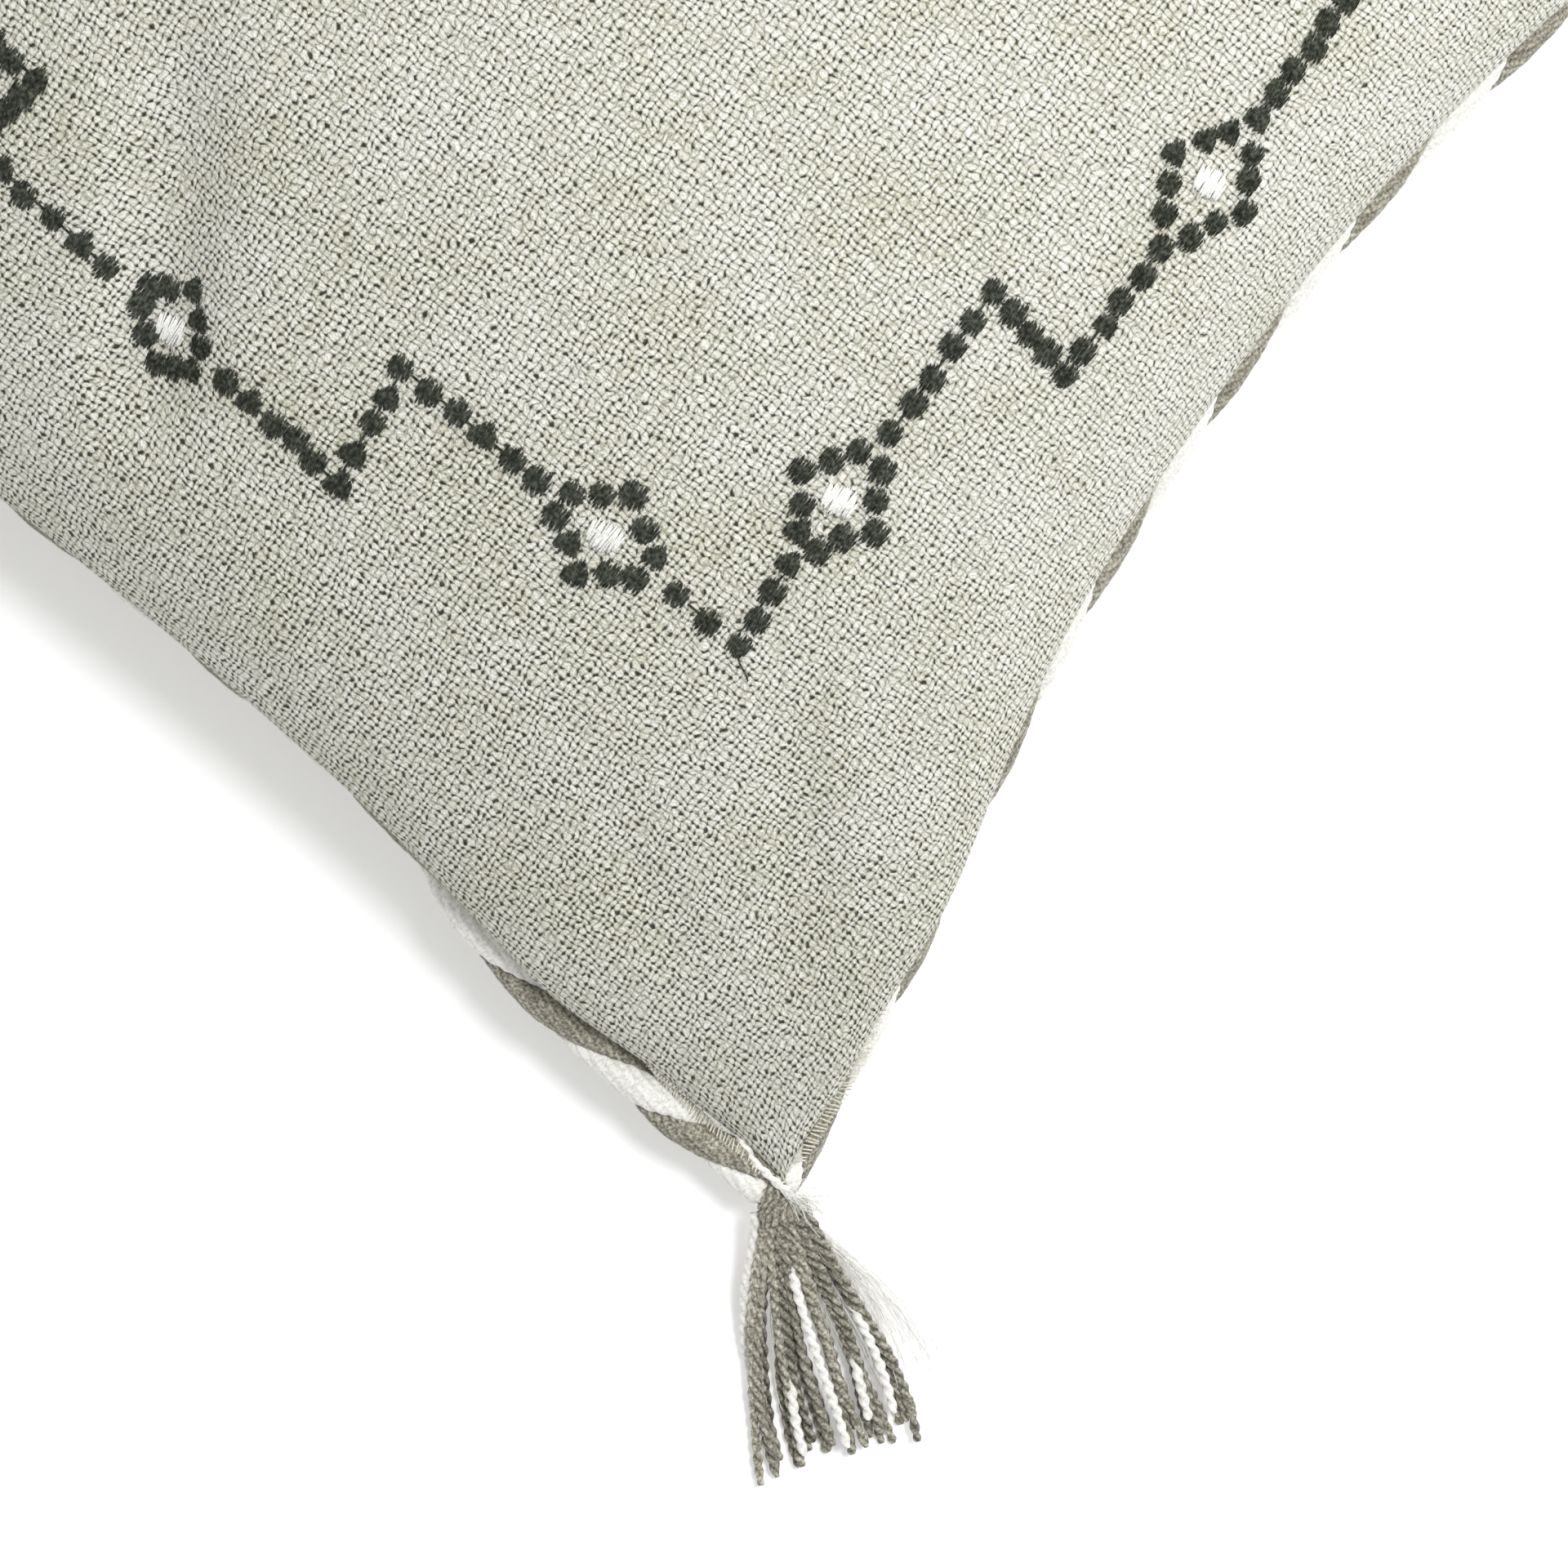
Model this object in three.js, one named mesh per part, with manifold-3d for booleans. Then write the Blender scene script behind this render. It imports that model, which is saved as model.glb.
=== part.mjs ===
// Square throw pillow with corded edges, embroidered front panel and a tassel at each corner.
// Millimetres, +Z up. It lies on its back panel, front panel up. The origin is on the surface
// that it lies on, under its middle. The zip is on the +Y side.
import * as THREE from 'three';
import { mergeVertices } from 'three/addons/utils/BufferGeometryUtils.js';
import Module from 'manifold-3d';

const wasm = await Module();
wasm.setup();

// Cushion form
const HALF_SIDE = 227; // middle to seam, measured at the corners
const FRONT_PULL_IN = 46; // how far the middle of the -Y side draws in
const RIGHT_PULL_IN = 30;
const LEFT_PULL_IN = 18;
const ZIP_PULL_IN = 14;
const CORNER_SEAM_Z = 18;
const SEAM_RISE = 32; // middle of a plain side above the corners
const ZIP_SEAM_RISE = 26;
const ZIP_STRAIGHT = 0.6; // share of the zip side that stays straight
const ZIP_END_CURVE = 1.6;
const CROWN_UP = 82; // front panel above the seam, at the middle
const CROWN_DOWN = 66; // back panel below the seam, before it flattens on the surface
const LEFT_BELLY = 24; // strength of the front panel's bulge over the -X seam
const PLAIN_BELLY = 16;
const GRID_STEPS = 12;

// Layers, as insets from the cover's outer face
const COVER_CLOTH = 1.0;
const CASING_OUTSIDE = 1.6;
const CASING_INSIDE = 2.4;
const FILLING_OUTSIDE = 3.0;
const HALF_SEAM_GAP = 0.2;

// Two-ply twisted edge cord
const CORD_OUT = 6.2; // seam to cord axis, sideways
const TUCKED_CORD = [5.4, -4]; // the same on the -Y side, sideways and up: it rolls under there
const PLY_ORBIT = 2.7;
const PLY_RADIUS = 2.15;
const CORD_LAY = 47.5; // length of one full twist
const CORD_END_GAP = 6; // cord's ends stop this far short of the seam corner, along the side
const CORD_STEPS_PER_LAY = 6;
const PLY_SIDES = 6;

// Tassels
const KNOT_PLACE = 231.5; // x and y of each knot's middle
const KNOT_RADIUS = 5;
const SKIRT_DROOP = THREE.MathUtils.degToRad(12.6);
const SKIRT_RINGS = [ // distance from the knot's middle, half width, half thickness
  [5.6, 3.6, 3.2],
  [12, 6, 4],
  [27, 10.5, 4.2],
  [46, 15, 4],
  [58, 17, 3.2],
  [62, 12, 2.2],
];
const SKIRT_SIDES = 12;

// Embroidery, laid out in plan on the front panel
const BAND_WIDTH = 4;
const BAND_HEIGHT = 0.8;
const BAND_CLEARANCE = 0.45;
const INNER_LINE = 140; // distance of the corner runs from the middle
const OUTER_LINE = 160; // distance of the middle runs from the middle
const JOG_PLACE = 48; // where a line steps from one distance to the other
const CORNER_DIAMOND_PLACE = 102.5;
const DIAMOND_LONG = 13; // half length of a diamond, along its side
const DIAMOND_WIDE = 10.5;
const OVAL_LONG = 4.5;
const OVAL_WIDE = 4;
const BAND_PIECE = 20; // longest straight piece of the band

// Zip
const ZIP_LENGTH = 262;
const TAPE_THICKNESS = 0.5;
const UPPER_TAPE = [-7.6, -0.6]; // heights from the seam
const LOWER_TAPE = [-17, -13.1];
const UPPER_ROW = [-9.8, -7.9];
const LOWER_ROW = [-12.8, -10.9];
const ROW_THICKNESS = 1.6;
const BACK_DIP = 17.4; // the back panel's edge below the seam along the zip
const DIP_RAMP = 0.03;
const SLIDER_LENGTH = 9;
const SLIDER_MIDDLE = -10.35;
const SLIDER_HEIGHT = 6;
const PLATE = 1.1;
const PLATE_GAP = 0.3;
const POST_THICKNESS = 0.5;
const PIN_RADIUS = 0.6;
const PIN_REACH = 2.4; // pin axis beyond the slider's front plate
const LUG_THICKNESS = 0.9;
const EYE_RADIUS = 1.9;
const EYE_CLEARANCE = 0.35;
const PULL_LENGTH = 20;
const PULL_THICKNESS = 1;
const STOP_LENGTH = 3;

const MATERIALS = {
  weave: { color: 0xd6d6ca, roughness: 0.95 },
  backCloth: { color: 0xd2d0c2, roughness: 0.95 },
  cotton: { color: 0xefede6, roughness: 0.9 },
  fibre: { color: 0xf6f5f1, roughness: 1 },
  taupeYarn: { color: 0x8d8672, roughness: 0.9 },
  ivoryYarn: { color: 0xeeede4, roughness: 0.9 },
  greenThread: { color: 0x454a3d, roughness: 0.6 },
  whiteThread: { color: 0xf1f1ec, roughness: 0.6 },
  tape: { color: 0xcfcdbf, roughness: 0.9 },
  nylon: { color: 0xd8d6ca, roughness: 0.5 },
  metal: { color: 0xb9b6ac, roughness: 0.35, metalness: 1 },
};

const pillow = new THREE.Group();

function add(name, geometry, material) {
  const mesh = new THREE.Mesh(geometry, new THREE.MeshStandardMaterial(MATERIALS[material]));
  mesh.name = name;
  pillow.add(mesh);
  return mesh;
}

// --- Form of the cushion: u and v run from -1 to 1 across the panels along X and Y ---

const { smoothstep } = THREE.MathUtils;

function zipShare(along) {
  const past = Math.max(0, Math.abs(along) - ZIP_STRAIGHT) / (1 - ZIP_STRAIGHT);
  return 1 - past ** ZIP_END_CURVE;
}

// Height of the seam surface, where a layer's inset moves its points towards the middle.
function seamHeight(panelU, panelV, inset = 0) {
  const kept = 1 - inset / HALF_SIDE;
  const [u, v] = [panelU * kept, panelV * kept];
  const plain = SEAM_RISE * (1 - u * u * v * v);
  const towardsZip = Math.max(0, v) ** 2;
  return CORNER_SEAM_Z + plain
    + towardsZip * (ZIP_SEAM_RISE * zipShare(u) - SEAM_RISE * (1 - u * u));
}

function planPoint(u, v, inset) {
  const drawnIn = v > 0 ? ZIP_PULL_IN * zipShare(u) : FRONT_PULL_IN * (1 - u * u);
  const x = u * (HALF_SIDE - inset - (u > 0 ? RIGHT_PULL_IN : LEFT_PULL_IN) * (1 - v * v));
  const y = v * (HALF_SIDE - inset - drawnIn);
  return [x, y];
}

function fullness(u, v) {
  return Math.sqrt(Math.max(0, (1 - u * u) * (1 - v * v)));
}

// The front panel bulges over its seam: nothing at the seam, most just above it, nothing further in.
function bulge(across) {
  const angle = Math.acos(Math.min(1, Math.abs(across)));
  return angle < Math.PI / 3 ? Math.sin(3 * angle) * Math.cos(1.5 * angle) ** 2 : 0;
}

function bellyOf(sideIsLeft, along) {
  const place = Math.abs(along);
  return sideIsLeft
    ? LEFT_BELLY * (1 - smoothstep(place, 0.7, 0.95))
    : PLAIN_BELLY * (1 - smoothstep(place, 0.6, 0.95));
}

function frontPoint(u, v, inset) {
  const [x, y] = planPoint(u, v, inset);
  const outX = Math.sign(u) * bellyOf(u < 0, v) * bulge(u);
  const outY = Math.sign(v) * bellyOf(false, u) * bulge(v);
  const z = seamHeight(u, v, inset) + HALF_SEAM_GAP + (CROWN_UP - inset) * fullness(u, v);
  return new THREE.Vector3(x + outX, y + outY, z);
}

function backPoint(u, v, inset) {
  const [x, y] = planPoint(u, v, inset);
  const alongZip = 1 - smoothstep(Math.abs(u), ZIP_STRAIGHT, ZIP_STRAIGHT + DIP_RAMP);
  const dip = BACK_DIP * alongZip * Math.max(0, v) ** 6;
  const z = seamHeight(u, v, inset) - HALF_SEAM_GAP - (CROWN_DOWN - inset) * fullness(u, v);
  const lowered = inset < CASING_OUTSIDE ? z - dip : z;
  return new THREE.Vector3(x, y, Math.max(inset, lowered));
}

// --- Closed meshes from points and triangles ---

function meshOf(points, triangles) {
  const geometry = new THREE.BufferGeometry();
  geometry.setAttribute('position', new THREE.Float32BufferAttribute(
    points.flatMap((p) => p.toArray()), 3));
  geometry.setIndex(triangles);
  geometry.computeVertexNormals();
  return geometry;
}

function gridLines() {
  const even = Array.from({ length: GRID_STEPS + 1 }, (_, i) => (
    Math.sin(Math.PI * (i / GRID_STEPS - 0.5))));
  const zipEnds = [ZIP_STRAIGHT, ZIP_STRAIGHT + DIP_RAMP];
  return [...even, ...zipEnds, ...zipEnds.map((u) => -u)].sort((a, b) => a - b);
}

// A sheet between two surfaces, outer and inner, that share their grid. With no rim the two
// surfaces meet along their edge, which makes a solid.
function closedSheet(outer, inner) {
  const lines = gridLines();
  const n = lines.length;
  const points = [];
  for (const surface of [outer, inner]) {
    for (const v of lines) {
      for (const u of lines) points.push(surface(u, v));
    }
  }
  const triangles = [];
  const at = (layer, i, j) => layer * n * n + j * n + i;
  for (let j = 0; j < n - 1; j += 1) {
    for (let i = 0; i < n - 1; i += 1) {
      const ring = [[i, j], [i + 1, j], [i + 1, j + 1], [i, j + 1]];
      // Each cell is split along the diagonal that points to the nearest corner.
      if ((lines[i] + lines[i + 1]) * (lines[j] + lines[j + 1]) < 0) ring.push(ring.shift());
      const [a, b, c, d] = ring;
      const outFace = [a, b, c, a, c, d].map(([p, q]) => at(0, p, q));
      const inFace = [a, c, b, a, d, c].map(([p, q]) => at(1, p, q));
      triangles.push(...outFace, ...inFace);
    }
  }
  for (let k = 0; k < n - 1; k += 1) {
    const edges = [
      [[k, 0], [k + 1, 0]], [[n - 1, k], [n - 1, k + 1]],
      [[k + 1, n - 1], [k, n - 1]], [[0, k + 1], [0, k]],
    ];
    for (const [p, q] of edges) {
      triangles.push(at(0, ...p), at(1, ...p), at(1, ...q), at(0, ...p), at(1, ...q), at(0, ...q));
    }
  }
  return meshOf(points, triangles);
}

function addCushionLayers() {
  const panels = [
    ['cover_front', frontPoint, 0, COVER_CLOTH, 'weave', 1],
    ['cover_back', backPoint, 0, COVER_CLOTH, 'backCloth', -1],
    ['insert_casing_front', frontPoint, CASING_OUTSIDE, CASING_INSIDE, 'cotton', 1],
    ['insert_casing_back', backPoint, CASING_OUTSIDE, CASING_INSIDE, 'cotton', -1],
  ];
  for (const [name, surface, outside, inside, material, up] of panels) {
    const outer = (u, v) => surface(u, v, outside);
    const inner = (u, v) => surface(u, v, inside);
    add(name, up > 0 ? closedSheet(outer, inner) : closedSheet(inner, outer), material);
  }
  const top = (u, v) => frontPoint(u, v, FILLING_OUTSIDE);
  const bottom = (u, v) => backPoint(u, v, FILLING_OUTSIDE);
  add('insert_filling', closedSheet(top, bottom), 'fibre');
}

// --- Edge cord ---

const SIDES = [ // name, and the panel place at a share of the way along the side, from -1 to 1
  { name: 'front', place: (s) => [s, -1], cordAt: TUCKED_CORD },
  { name: 'right', place: (s) => [1, s], cordAt: [CORD_OUT, 0] },
  { name: 'back', place: (s) => [-s, 1], cordAt: [CORD_OUT, 0] },
  { name: 'left', place: (s) => [-1, -s], cordAt: [CORD_OUT, 0] },
];

class EdgePly extends THREE.Curve {
  constructor(side, phase) {
    super();
    this.side = side;
    this.phase = phase;
    this.reach = 1 - CORD_END_GAP / HALF_SIDE;
  }

  seam(s) {
    const [u, v] = this.side.place(s);
    const [x, y] = planPoint(u, v, 0);
    return new THREE.Vector3(x, y, seamHeight(u, v));
  }

  getPoint(t, target = new THREE.Vector3()) {
    const s = (2 * t - 1) * this.reach;
    const along = this.seam(s + 0.002).sub(this.seam(s - 0.002)).normalize();
    const outward = along.clone().cross(new THREE.Vector3(0, 0, 1)).normalize();
    const upward = outward.clone().cross(along);
    const twist = 2 * Math.PI * s * (HALF_SIDE / CORD_LAY) + this.phase;
    const out = this.side.cordAt[0] + PLY_ORBIT * Math.cos(twist);
    const up = this.side.cordAt[1] + PLY_ORBIT * Math.sin(twist);
    return target.copy(this.seam(s)).addScaledVector(outward, out).addScaledVector(upward, up);
  }
}

function circleShape(radius, sides) {
  const shape = new THREE.Shape();
  for (let i = 0; i < sides; i += 1) {
    const angle = (2 * Math.PI * i) / sides;
    const point = [radius * Math.cos(angle), radius * Math.sin(angle)];
    if (i === 0) shape.moveTo(...point);
    else shape.lineTo(...point);
  }
  shape.closePath();
  return shape;
}

function addEdgeCord() {
  const steps = Math.round((2 * HALF_SIDE / CORD_LAY) * CORD_STEPS_PER_LAY);
  const section = circleShape(PLY_RADIUS, PLY_SIDES);
  for (const side of SIDES) {
    for (const [yarn, phase] of [['taupe', 0], ['ivory', Math.PI]]) {
      const geometry = new THREE.ExtrudeGeometry(section, {
        steps, bevelEnabled: false, extrudePath: new EdgePly(side, phase),
      });
      add(`edge_cord_${side.name}_${yarn}`, geometry, `${yarn}Yarn`);
    }
  }
}

// --- Tassels ---

const CORNERS = [
  ['left_front', -1, -1], ['right_front', 1, -1], ['right_back', 1, 1], ['left_back', -1, 1],
];

function skirtGeometry() {
  const points = [];
  for (const [reach, width, thickness] of SKIRT_RINGS) {
    for (let i = 0; i < SKIRT_SIDES; i += 1) {
      const angle = (2 * Math.PI * i) / SKIRT_SIDES;
      points.push(new THREE.Vector3(reach, width * Math.cos(angle), thickness * Math.sin(angle)));
    }
  }
  const last = SKIRT_RINGS.length - 1;
  points.push(new THREE.Vector3(SKIRT_RINGS[0][0], 0, 0));
  points.push(new THREE.Vector3(SKIRT_RINGS[last][0], 0, 0));
  const triangles = [];
  for (let i = 0; i < SKIRT_SIDES; i += 1) {
    const j = (i + 1) % SKIRT_SIDES;
    for (let k = 0; k < last; k += 1) {
      const [a, b] = [k * SKIRT_SIDES, (k + 1) * SKIRT_SIDES];
      triangles.push(a + i, a + j, b + j, a + i, b + j, b + i);
    }
    triangles.push(points.length - 2, j, i);
    triangles.push(points.length - 1, last * SKIRT_SIDES + i, last * SKIRT_SIDES + j);
  }
  return meshOf(points, triangles);
}

function addTassels() {
  for (const [corner, x, y] of CORNERS) {
    const place = new THREE.Vector3(x * KNOT_PLACE, y * KNOT_PLACE, CORNER_SEAM_Z);
    const knot = add(`tassel_knot_${corner}`, new THREE.SphereGeometry(KNOT_RADIUS, 14, 10), 'taupeYarn');
    knot.position.copy(place);
    const skirt = add(`tassel_skirt_${corner}`, skirtGeometry(), 'taupeYarn');
    skirt.position.copy(place);
    skirt.rotation.set(0, SKIRT_DROOP, Math.atan2(y, x), 'ZYX');
  }
}

// --- Embroidery: flat pieces joined in plan, then laid on the front panel ---

function solidOf(geometry) {
  const plain = geometry.clone();
  plain.deleteAttribute('normal');
  plain.deleteAttribute('uv');
  const merged = mergeVertices(plain);
  return new wasm.Manifold(new wasm.Mesh({
    numProp: 3,
    vertProperties: new Float32Array(merged.attributes.position.array),
    triVerts: new Uint32Array(merged.index.array),
  }));
}

function geometryOf(solid) {
  const mesh = solid.getMesh();
  const geometry = new THREE.BufferGeometry();
  geometry.setAttribute('position', new THREE.BufferAttribute(mesh.vertProperties, 3));
  geometry.setIndex(new THREE.BufferAttribute(mesh.triVerts, 1));
  geometry.computeVertexNormals();
  return geometry;
}

function bandPieces(line) {
  const pieces = [];
  for (let i = 0; i < line.length - 1; i += 1) {
    const [a, b] = [line[i], line[i + 1]].map(([x, y]) => new THREE.Vector2(x, y));
    const count = Math.ceil(a.distanceTo(b) / BAND_PIECE);
    for (let k = 0; k < count; k += 1) {
      const [p, q] = [a.clone().lerp(b, k / count), a.clone().lerp(b, (k + 1) / count)];
      const piece = new THREE.BoxGeometry(p.distanceTo(q) + BAND_WIDTH * 0.5, BAND_WIDTH, BAND_HEIGHT);
      piece.rotateZ(Math.atan2(q.y - p.y, q.x - p.x));
      piece.translate((p.x + q.x) / 2, (p.y + q.y) / 2, BAND_HEIGHT / 2);
      pieces.push(solidOf(piece));
    }
  }
  return pieces;
}

// One side's line, for the -Y side, as runs along it broken by diamonds.
function sideLines() {
  const diamonds = [
    [-CORNER_DIAMOND_PLACE, -INNER_LINE], [0, -OUTER_LINE], [CORNER_DIAMOND_PLACE, -INNER_LINE],
  ];
  const [left, middle, right] = diamonds.map(([x, y]) => [
    [x - DIAMOND_LONG, y], [x + DIAMOND_LONG, y]]);
  const runs = [
    [[-INNER_LINE, -INNER_LINE], left[0]],
    [left[1], [-JOG_PLACE, -INNER_LINE], [-JOG_PLACE, -OUTER_LINE], middle[0]],
    [middle[1], [JOG_PLACE, -OUTER_LINE], [JOG_PLACE, -INNER_LINE], right[0]],
    [right[1], [INNER_LINE, -INNER_LINE]],
  ];
  for (const [x, y] of diamonds) {
    runs.push([
      [x - DIAMOND_LONG, y], [x, y - DIAMOND_WIDE], [x + DIAMOND_LONG, y],
      [x, y + DIAMOND_WIDE], [x - DIAMOND_LONG, y],
    ]);
  }
  return { runs, diamonds };
}

function turned([x, y], quarter) {
  const [c, s] = [[1, 0], [0, 1], [-1, 0], [0, -1]][quarter];
  return [c * x - s * y, s * x + c * y];
}

// The place on the front panel above a plan point, found by stepping towards it.
function onPanel(x, y, height) {
  let [u, v] = [x / HALF_SIDE, y / HALF_SIDE];
  for (let i = 0; i < 30; i += 1) {
    const now = frontPoint(u, v, 0);
    u += (x - now.x) / HALF_SIDE;
    v += (y - now.y) / HALF_SIDE;
  }
  const here = frontPoint(u, v, 0);
  const step = 0.002;
  const normal = frontPoint(u + step, v, 0).sub(here)
    .cross(frontPoint(u, v + step, 0).sub(here)).normalize();
  return here.addScaledVector(normal, BAND_CLEARANCE + height);
}

function laidOnPanel(geometry) {
  const place = geometry.attributes.position;
  for (let i = 0; i < place.count; i += 1) {
    const p = onPanel(place.getX(i), place.getY(i), place.getZ(i));
    place.setXYZ(i, p.x, p.y, p.z);
  }
  geometry.computeVertexNormals();
  return geometry;
}

function addEmbroidery() {
  const { runs, diamonds } = sideLines();
  const pieces = [];
  for (let quarter = 0; quarter < 4; quarter += 1) {
    for (const run of runs) pieces.push(...bandPieces(run.map((p) => turned(p, quarter))));
  }
  const band = wasm.Manifold.union(pieces);
  add('embroidery_green_line', laidOnPanel(geometryOf(band)), 'greenThread');
  SIDES.forEach((side, quarter) => {
    diamonds.forEach((middle, i) => {
      const [x, y] = turned(middle, quarter);
      const oval = new THREE.CylinderGeometry(1, 1, BAND_HEIGHT, 12);
      oval.rotateX(Math.PI / 2);
      const [wide, tall] = quarter % 2 ? [OVAL_WIDE, OVAL_LONG] : [OVAL_LONG, OVAL_WIDE];
      oval.scale(wide, tall, 1);
      oval.translate(x, y, BAND_HEIGHT / 2);
      oval.deleteAttribute('normal');
      oval.deleteAttribute('uv');
      add(`embroidery_white_${side.name}_${i + 1}`, laidOnPanel(mergeVertices(oval)), 'whiteThread');
    });
  });
}

// --- Zip, in the seam of the +Y side, under the edge cord ---

const ZIP_Y = HALF_SIDE - ZIP_PULL_IN;
const ZIP_SEAM_Z = CORNER_SEAM_Z + ZIP_SEAM_RISE;

function boxBetween([x0, x1], [y0, y1], [z0, z1]) {
  const box = new THREE.BoxGeometry(x1 - x0, y1 - y0, z1 - z0);
  box.translate((x0 + x1) / 2, (y0 + y1) / 2, (z0 + z1) / 2);
  return box;
}

function onZip(x, y, z) {
  return boxBetween(x, y.map((value) => ZIP_Y + value), z.map((value) => ZIP_SEAM_Z + value));
}

function addZipRails() {
  const half = ZIP_LENGTH / 2;
  const tape = [-TAPE_THICKNESS / 2, TAPE_THICKNESS / 2];
  const row = [-ROW_THICKNESS / 2, ROW_THICKNESS / 2];
  const rowEnds = [-half + STOP_LENGTH + 0.3, half - STOP_LENGTH - 0.3];
  add('zip_tape_upper', onZip([-half, half], tape, UPPER_TAPE), 'tape');
  add('zip_tape_lower', onZip([-half, half], tape, LOWER_TAPE), 'tape');
  add('zip_teeth_upper', onZip(rowEnds, row, UPPER_ROW), 'nylon');
  add('zip_teeth_lower', onZip(rowEnds, row, LOWER_ROW), 'nylon');
  const stopHeights = [LOWER_ROW[0], UPPER_ROW[1]];
  add('zip_stop_closed', onZip([-half, -half + STOP_LENGTH], row, stopHeights), 'metal');
  add('zip_stop_open', onZip([half - STOP_LENGTH, half], row, stopHeights), 'metal');
}

function pinAt(x, y, radius, height) {
  const pin = new THREE.CylinderGeometry(radius, radius, height, 12);
  pin.rotateX(Math.PI / 2);
  pin.translate(x, y, 0);
  return pin;
}

function addSliderAndPull() {
  const start = -ZIP_LENGTH / 2 + STOP_LENGTH + 0.6;
  const ends = [start, start + SLIDER_LENGTH];
  const heights = [SLIDER_MIDDLE - SLIDER_HEIGHT / 2, SLIDER_MIDDLE + SLIDER_HEIGHT / 2];
  const inner = ROW_THICKNESS / 2 + PLATE_GAP;
  const post = [SLIDER_MIDDLE - POST_THICKNESS / 2, SLIDER_MIDDLE + POST_THICKNESS / 2];
  const pinX = start + SLIDER_LENGTH / 2;
  const pinY = inner + PLATE + PIN_REACH;
  const lug = [pinX - 1.2, pinX + 1.2];
  const pin = pinAt(pinX, ZIP_Y + pinY, PIN_RADIUS, SLIDER_HEIGHT);
  pin.translate(0, 0, ZIP_SEAM_Z + SLIDER_MIDDLE);
  const parts = [
    onZip(ends, [inner, inner + PLATE], heights),
    onZip(ends, [-inner - PLATE, -inner], heights),
    onZip(ends, [-inner - 0.1, inner + 0.1], post),
    onZip(lug, [inner + PLATE - 0.1, pinY + 1.2], [heights[0], heights[0] + LUG_THICKNESS]),
    onZip(lug, [inner + PLATE - 0.1, pinY + 1.2], [heights[1] - LUG_THICKNESS, heights[1]]),
    pin,
  ];
  add('zip_slider', geometryOf(wasm.Manifold.union(parts.map(solidOf))), 'metal');

  const pullHeight = SLIDER_HEIGHT - 2 * LUG_THICKNESS - 2 * EYE_CLEARANCE;
  const outline = new THREE.Shape();
  outline.absarc(0, 0, EYE_RADIUS, Math.PI - 0.27, -Math.PI + 0.27, true);
  outline.lineTo(-PULL_LENGTH, -PULL_THICKNESS / 2);
  outline.lineTo(-PULL_LENGTH, PULL_THICKNESS / 2);
  outline.closePath();
  const eye = new THREE.Path();
  eye.absarc(0, 0, PIN_RADIUS + EYE_CLEARANCE, 0, 2 * Math.PI, false);
  outline.holes.push(eye);
  const pull = new THREE.ExtrudeGeometry(outline, {
    depth: pullHeight, bevelEnabled: false, curveSegments: 10,
  });
  pull.translate(pinX, ZIP_Y + pinY, ZIP_SEAM_Z + SLIDER_MIDDLE - pullHeight / 2);
  add('zip_pull', pull, 'metal');
}

addCushionLayers();
addEdgeCord();
addTassels();
addEmbroidery();
addZipRails();
addSliderAndPull();

export default pillow;
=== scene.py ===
# %% [markdown]
# # Throw pillow with a woven front, twisted edge cord and corner tassels
#
# The pillow is a 450 mm square cover over a filled insert. Its front is a slubby plain weave with
# a hand-embroidered line near the edge. A two-ply cord of taupe and ivory yarn is sewn round the
# seam, and at each corner the cord's ends are knotted and left loose as a tassel. This lesson
# builds each piece at its real size, in metres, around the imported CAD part.

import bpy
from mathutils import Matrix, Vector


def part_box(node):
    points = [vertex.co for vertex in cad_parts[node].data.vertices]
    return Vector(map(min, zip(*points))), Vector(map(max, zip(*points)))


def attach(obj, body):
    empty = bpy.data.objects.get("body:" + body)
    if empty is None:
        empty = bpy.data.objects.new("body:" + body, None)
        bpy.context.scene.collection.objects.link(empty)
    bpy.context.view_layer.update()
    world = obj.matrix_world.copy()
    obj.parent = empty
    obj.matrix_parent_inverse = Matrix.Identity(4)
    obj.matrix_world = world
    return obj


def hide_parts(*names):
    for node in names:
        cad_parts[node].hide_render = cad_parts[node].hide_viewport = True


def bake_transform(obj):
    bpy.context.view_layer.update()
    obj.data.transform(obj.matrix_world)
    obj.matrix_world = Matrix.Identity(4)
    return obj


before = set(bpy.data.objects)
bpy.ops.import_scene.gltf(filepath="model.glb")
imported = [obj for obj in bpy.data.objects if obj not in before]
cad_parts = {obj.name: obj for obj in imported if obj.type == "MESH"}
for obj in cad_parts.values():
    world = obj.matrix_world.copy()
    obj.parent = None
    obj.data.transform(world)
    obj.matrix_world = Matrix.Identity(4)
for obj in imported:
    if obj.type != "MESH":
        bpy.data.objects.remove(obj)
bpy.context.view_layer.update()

import math

import bpy
import numpy as np
from mathutils import Matrix, Vector
from mathutils.bvhtree import BVHTree

SIDES = ["front", "right", "back", "left"]
CORNERS = {
    "left_front": (-1, -1), "right_front": (1, -1), "right_back": (1, 1), "left_back": (-1, 1),
}

# %% [markdown]
# ## Form of the cushion
#
# A stuffed square cover draws in along its sides and stays sharp at its corners, because the
# filling can't push into them. The places u and v run from -1 to 1 across a panel. The sides draw
# in by different amounts, as the filling has settled, and the front panel bulges over its seam.

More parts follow.
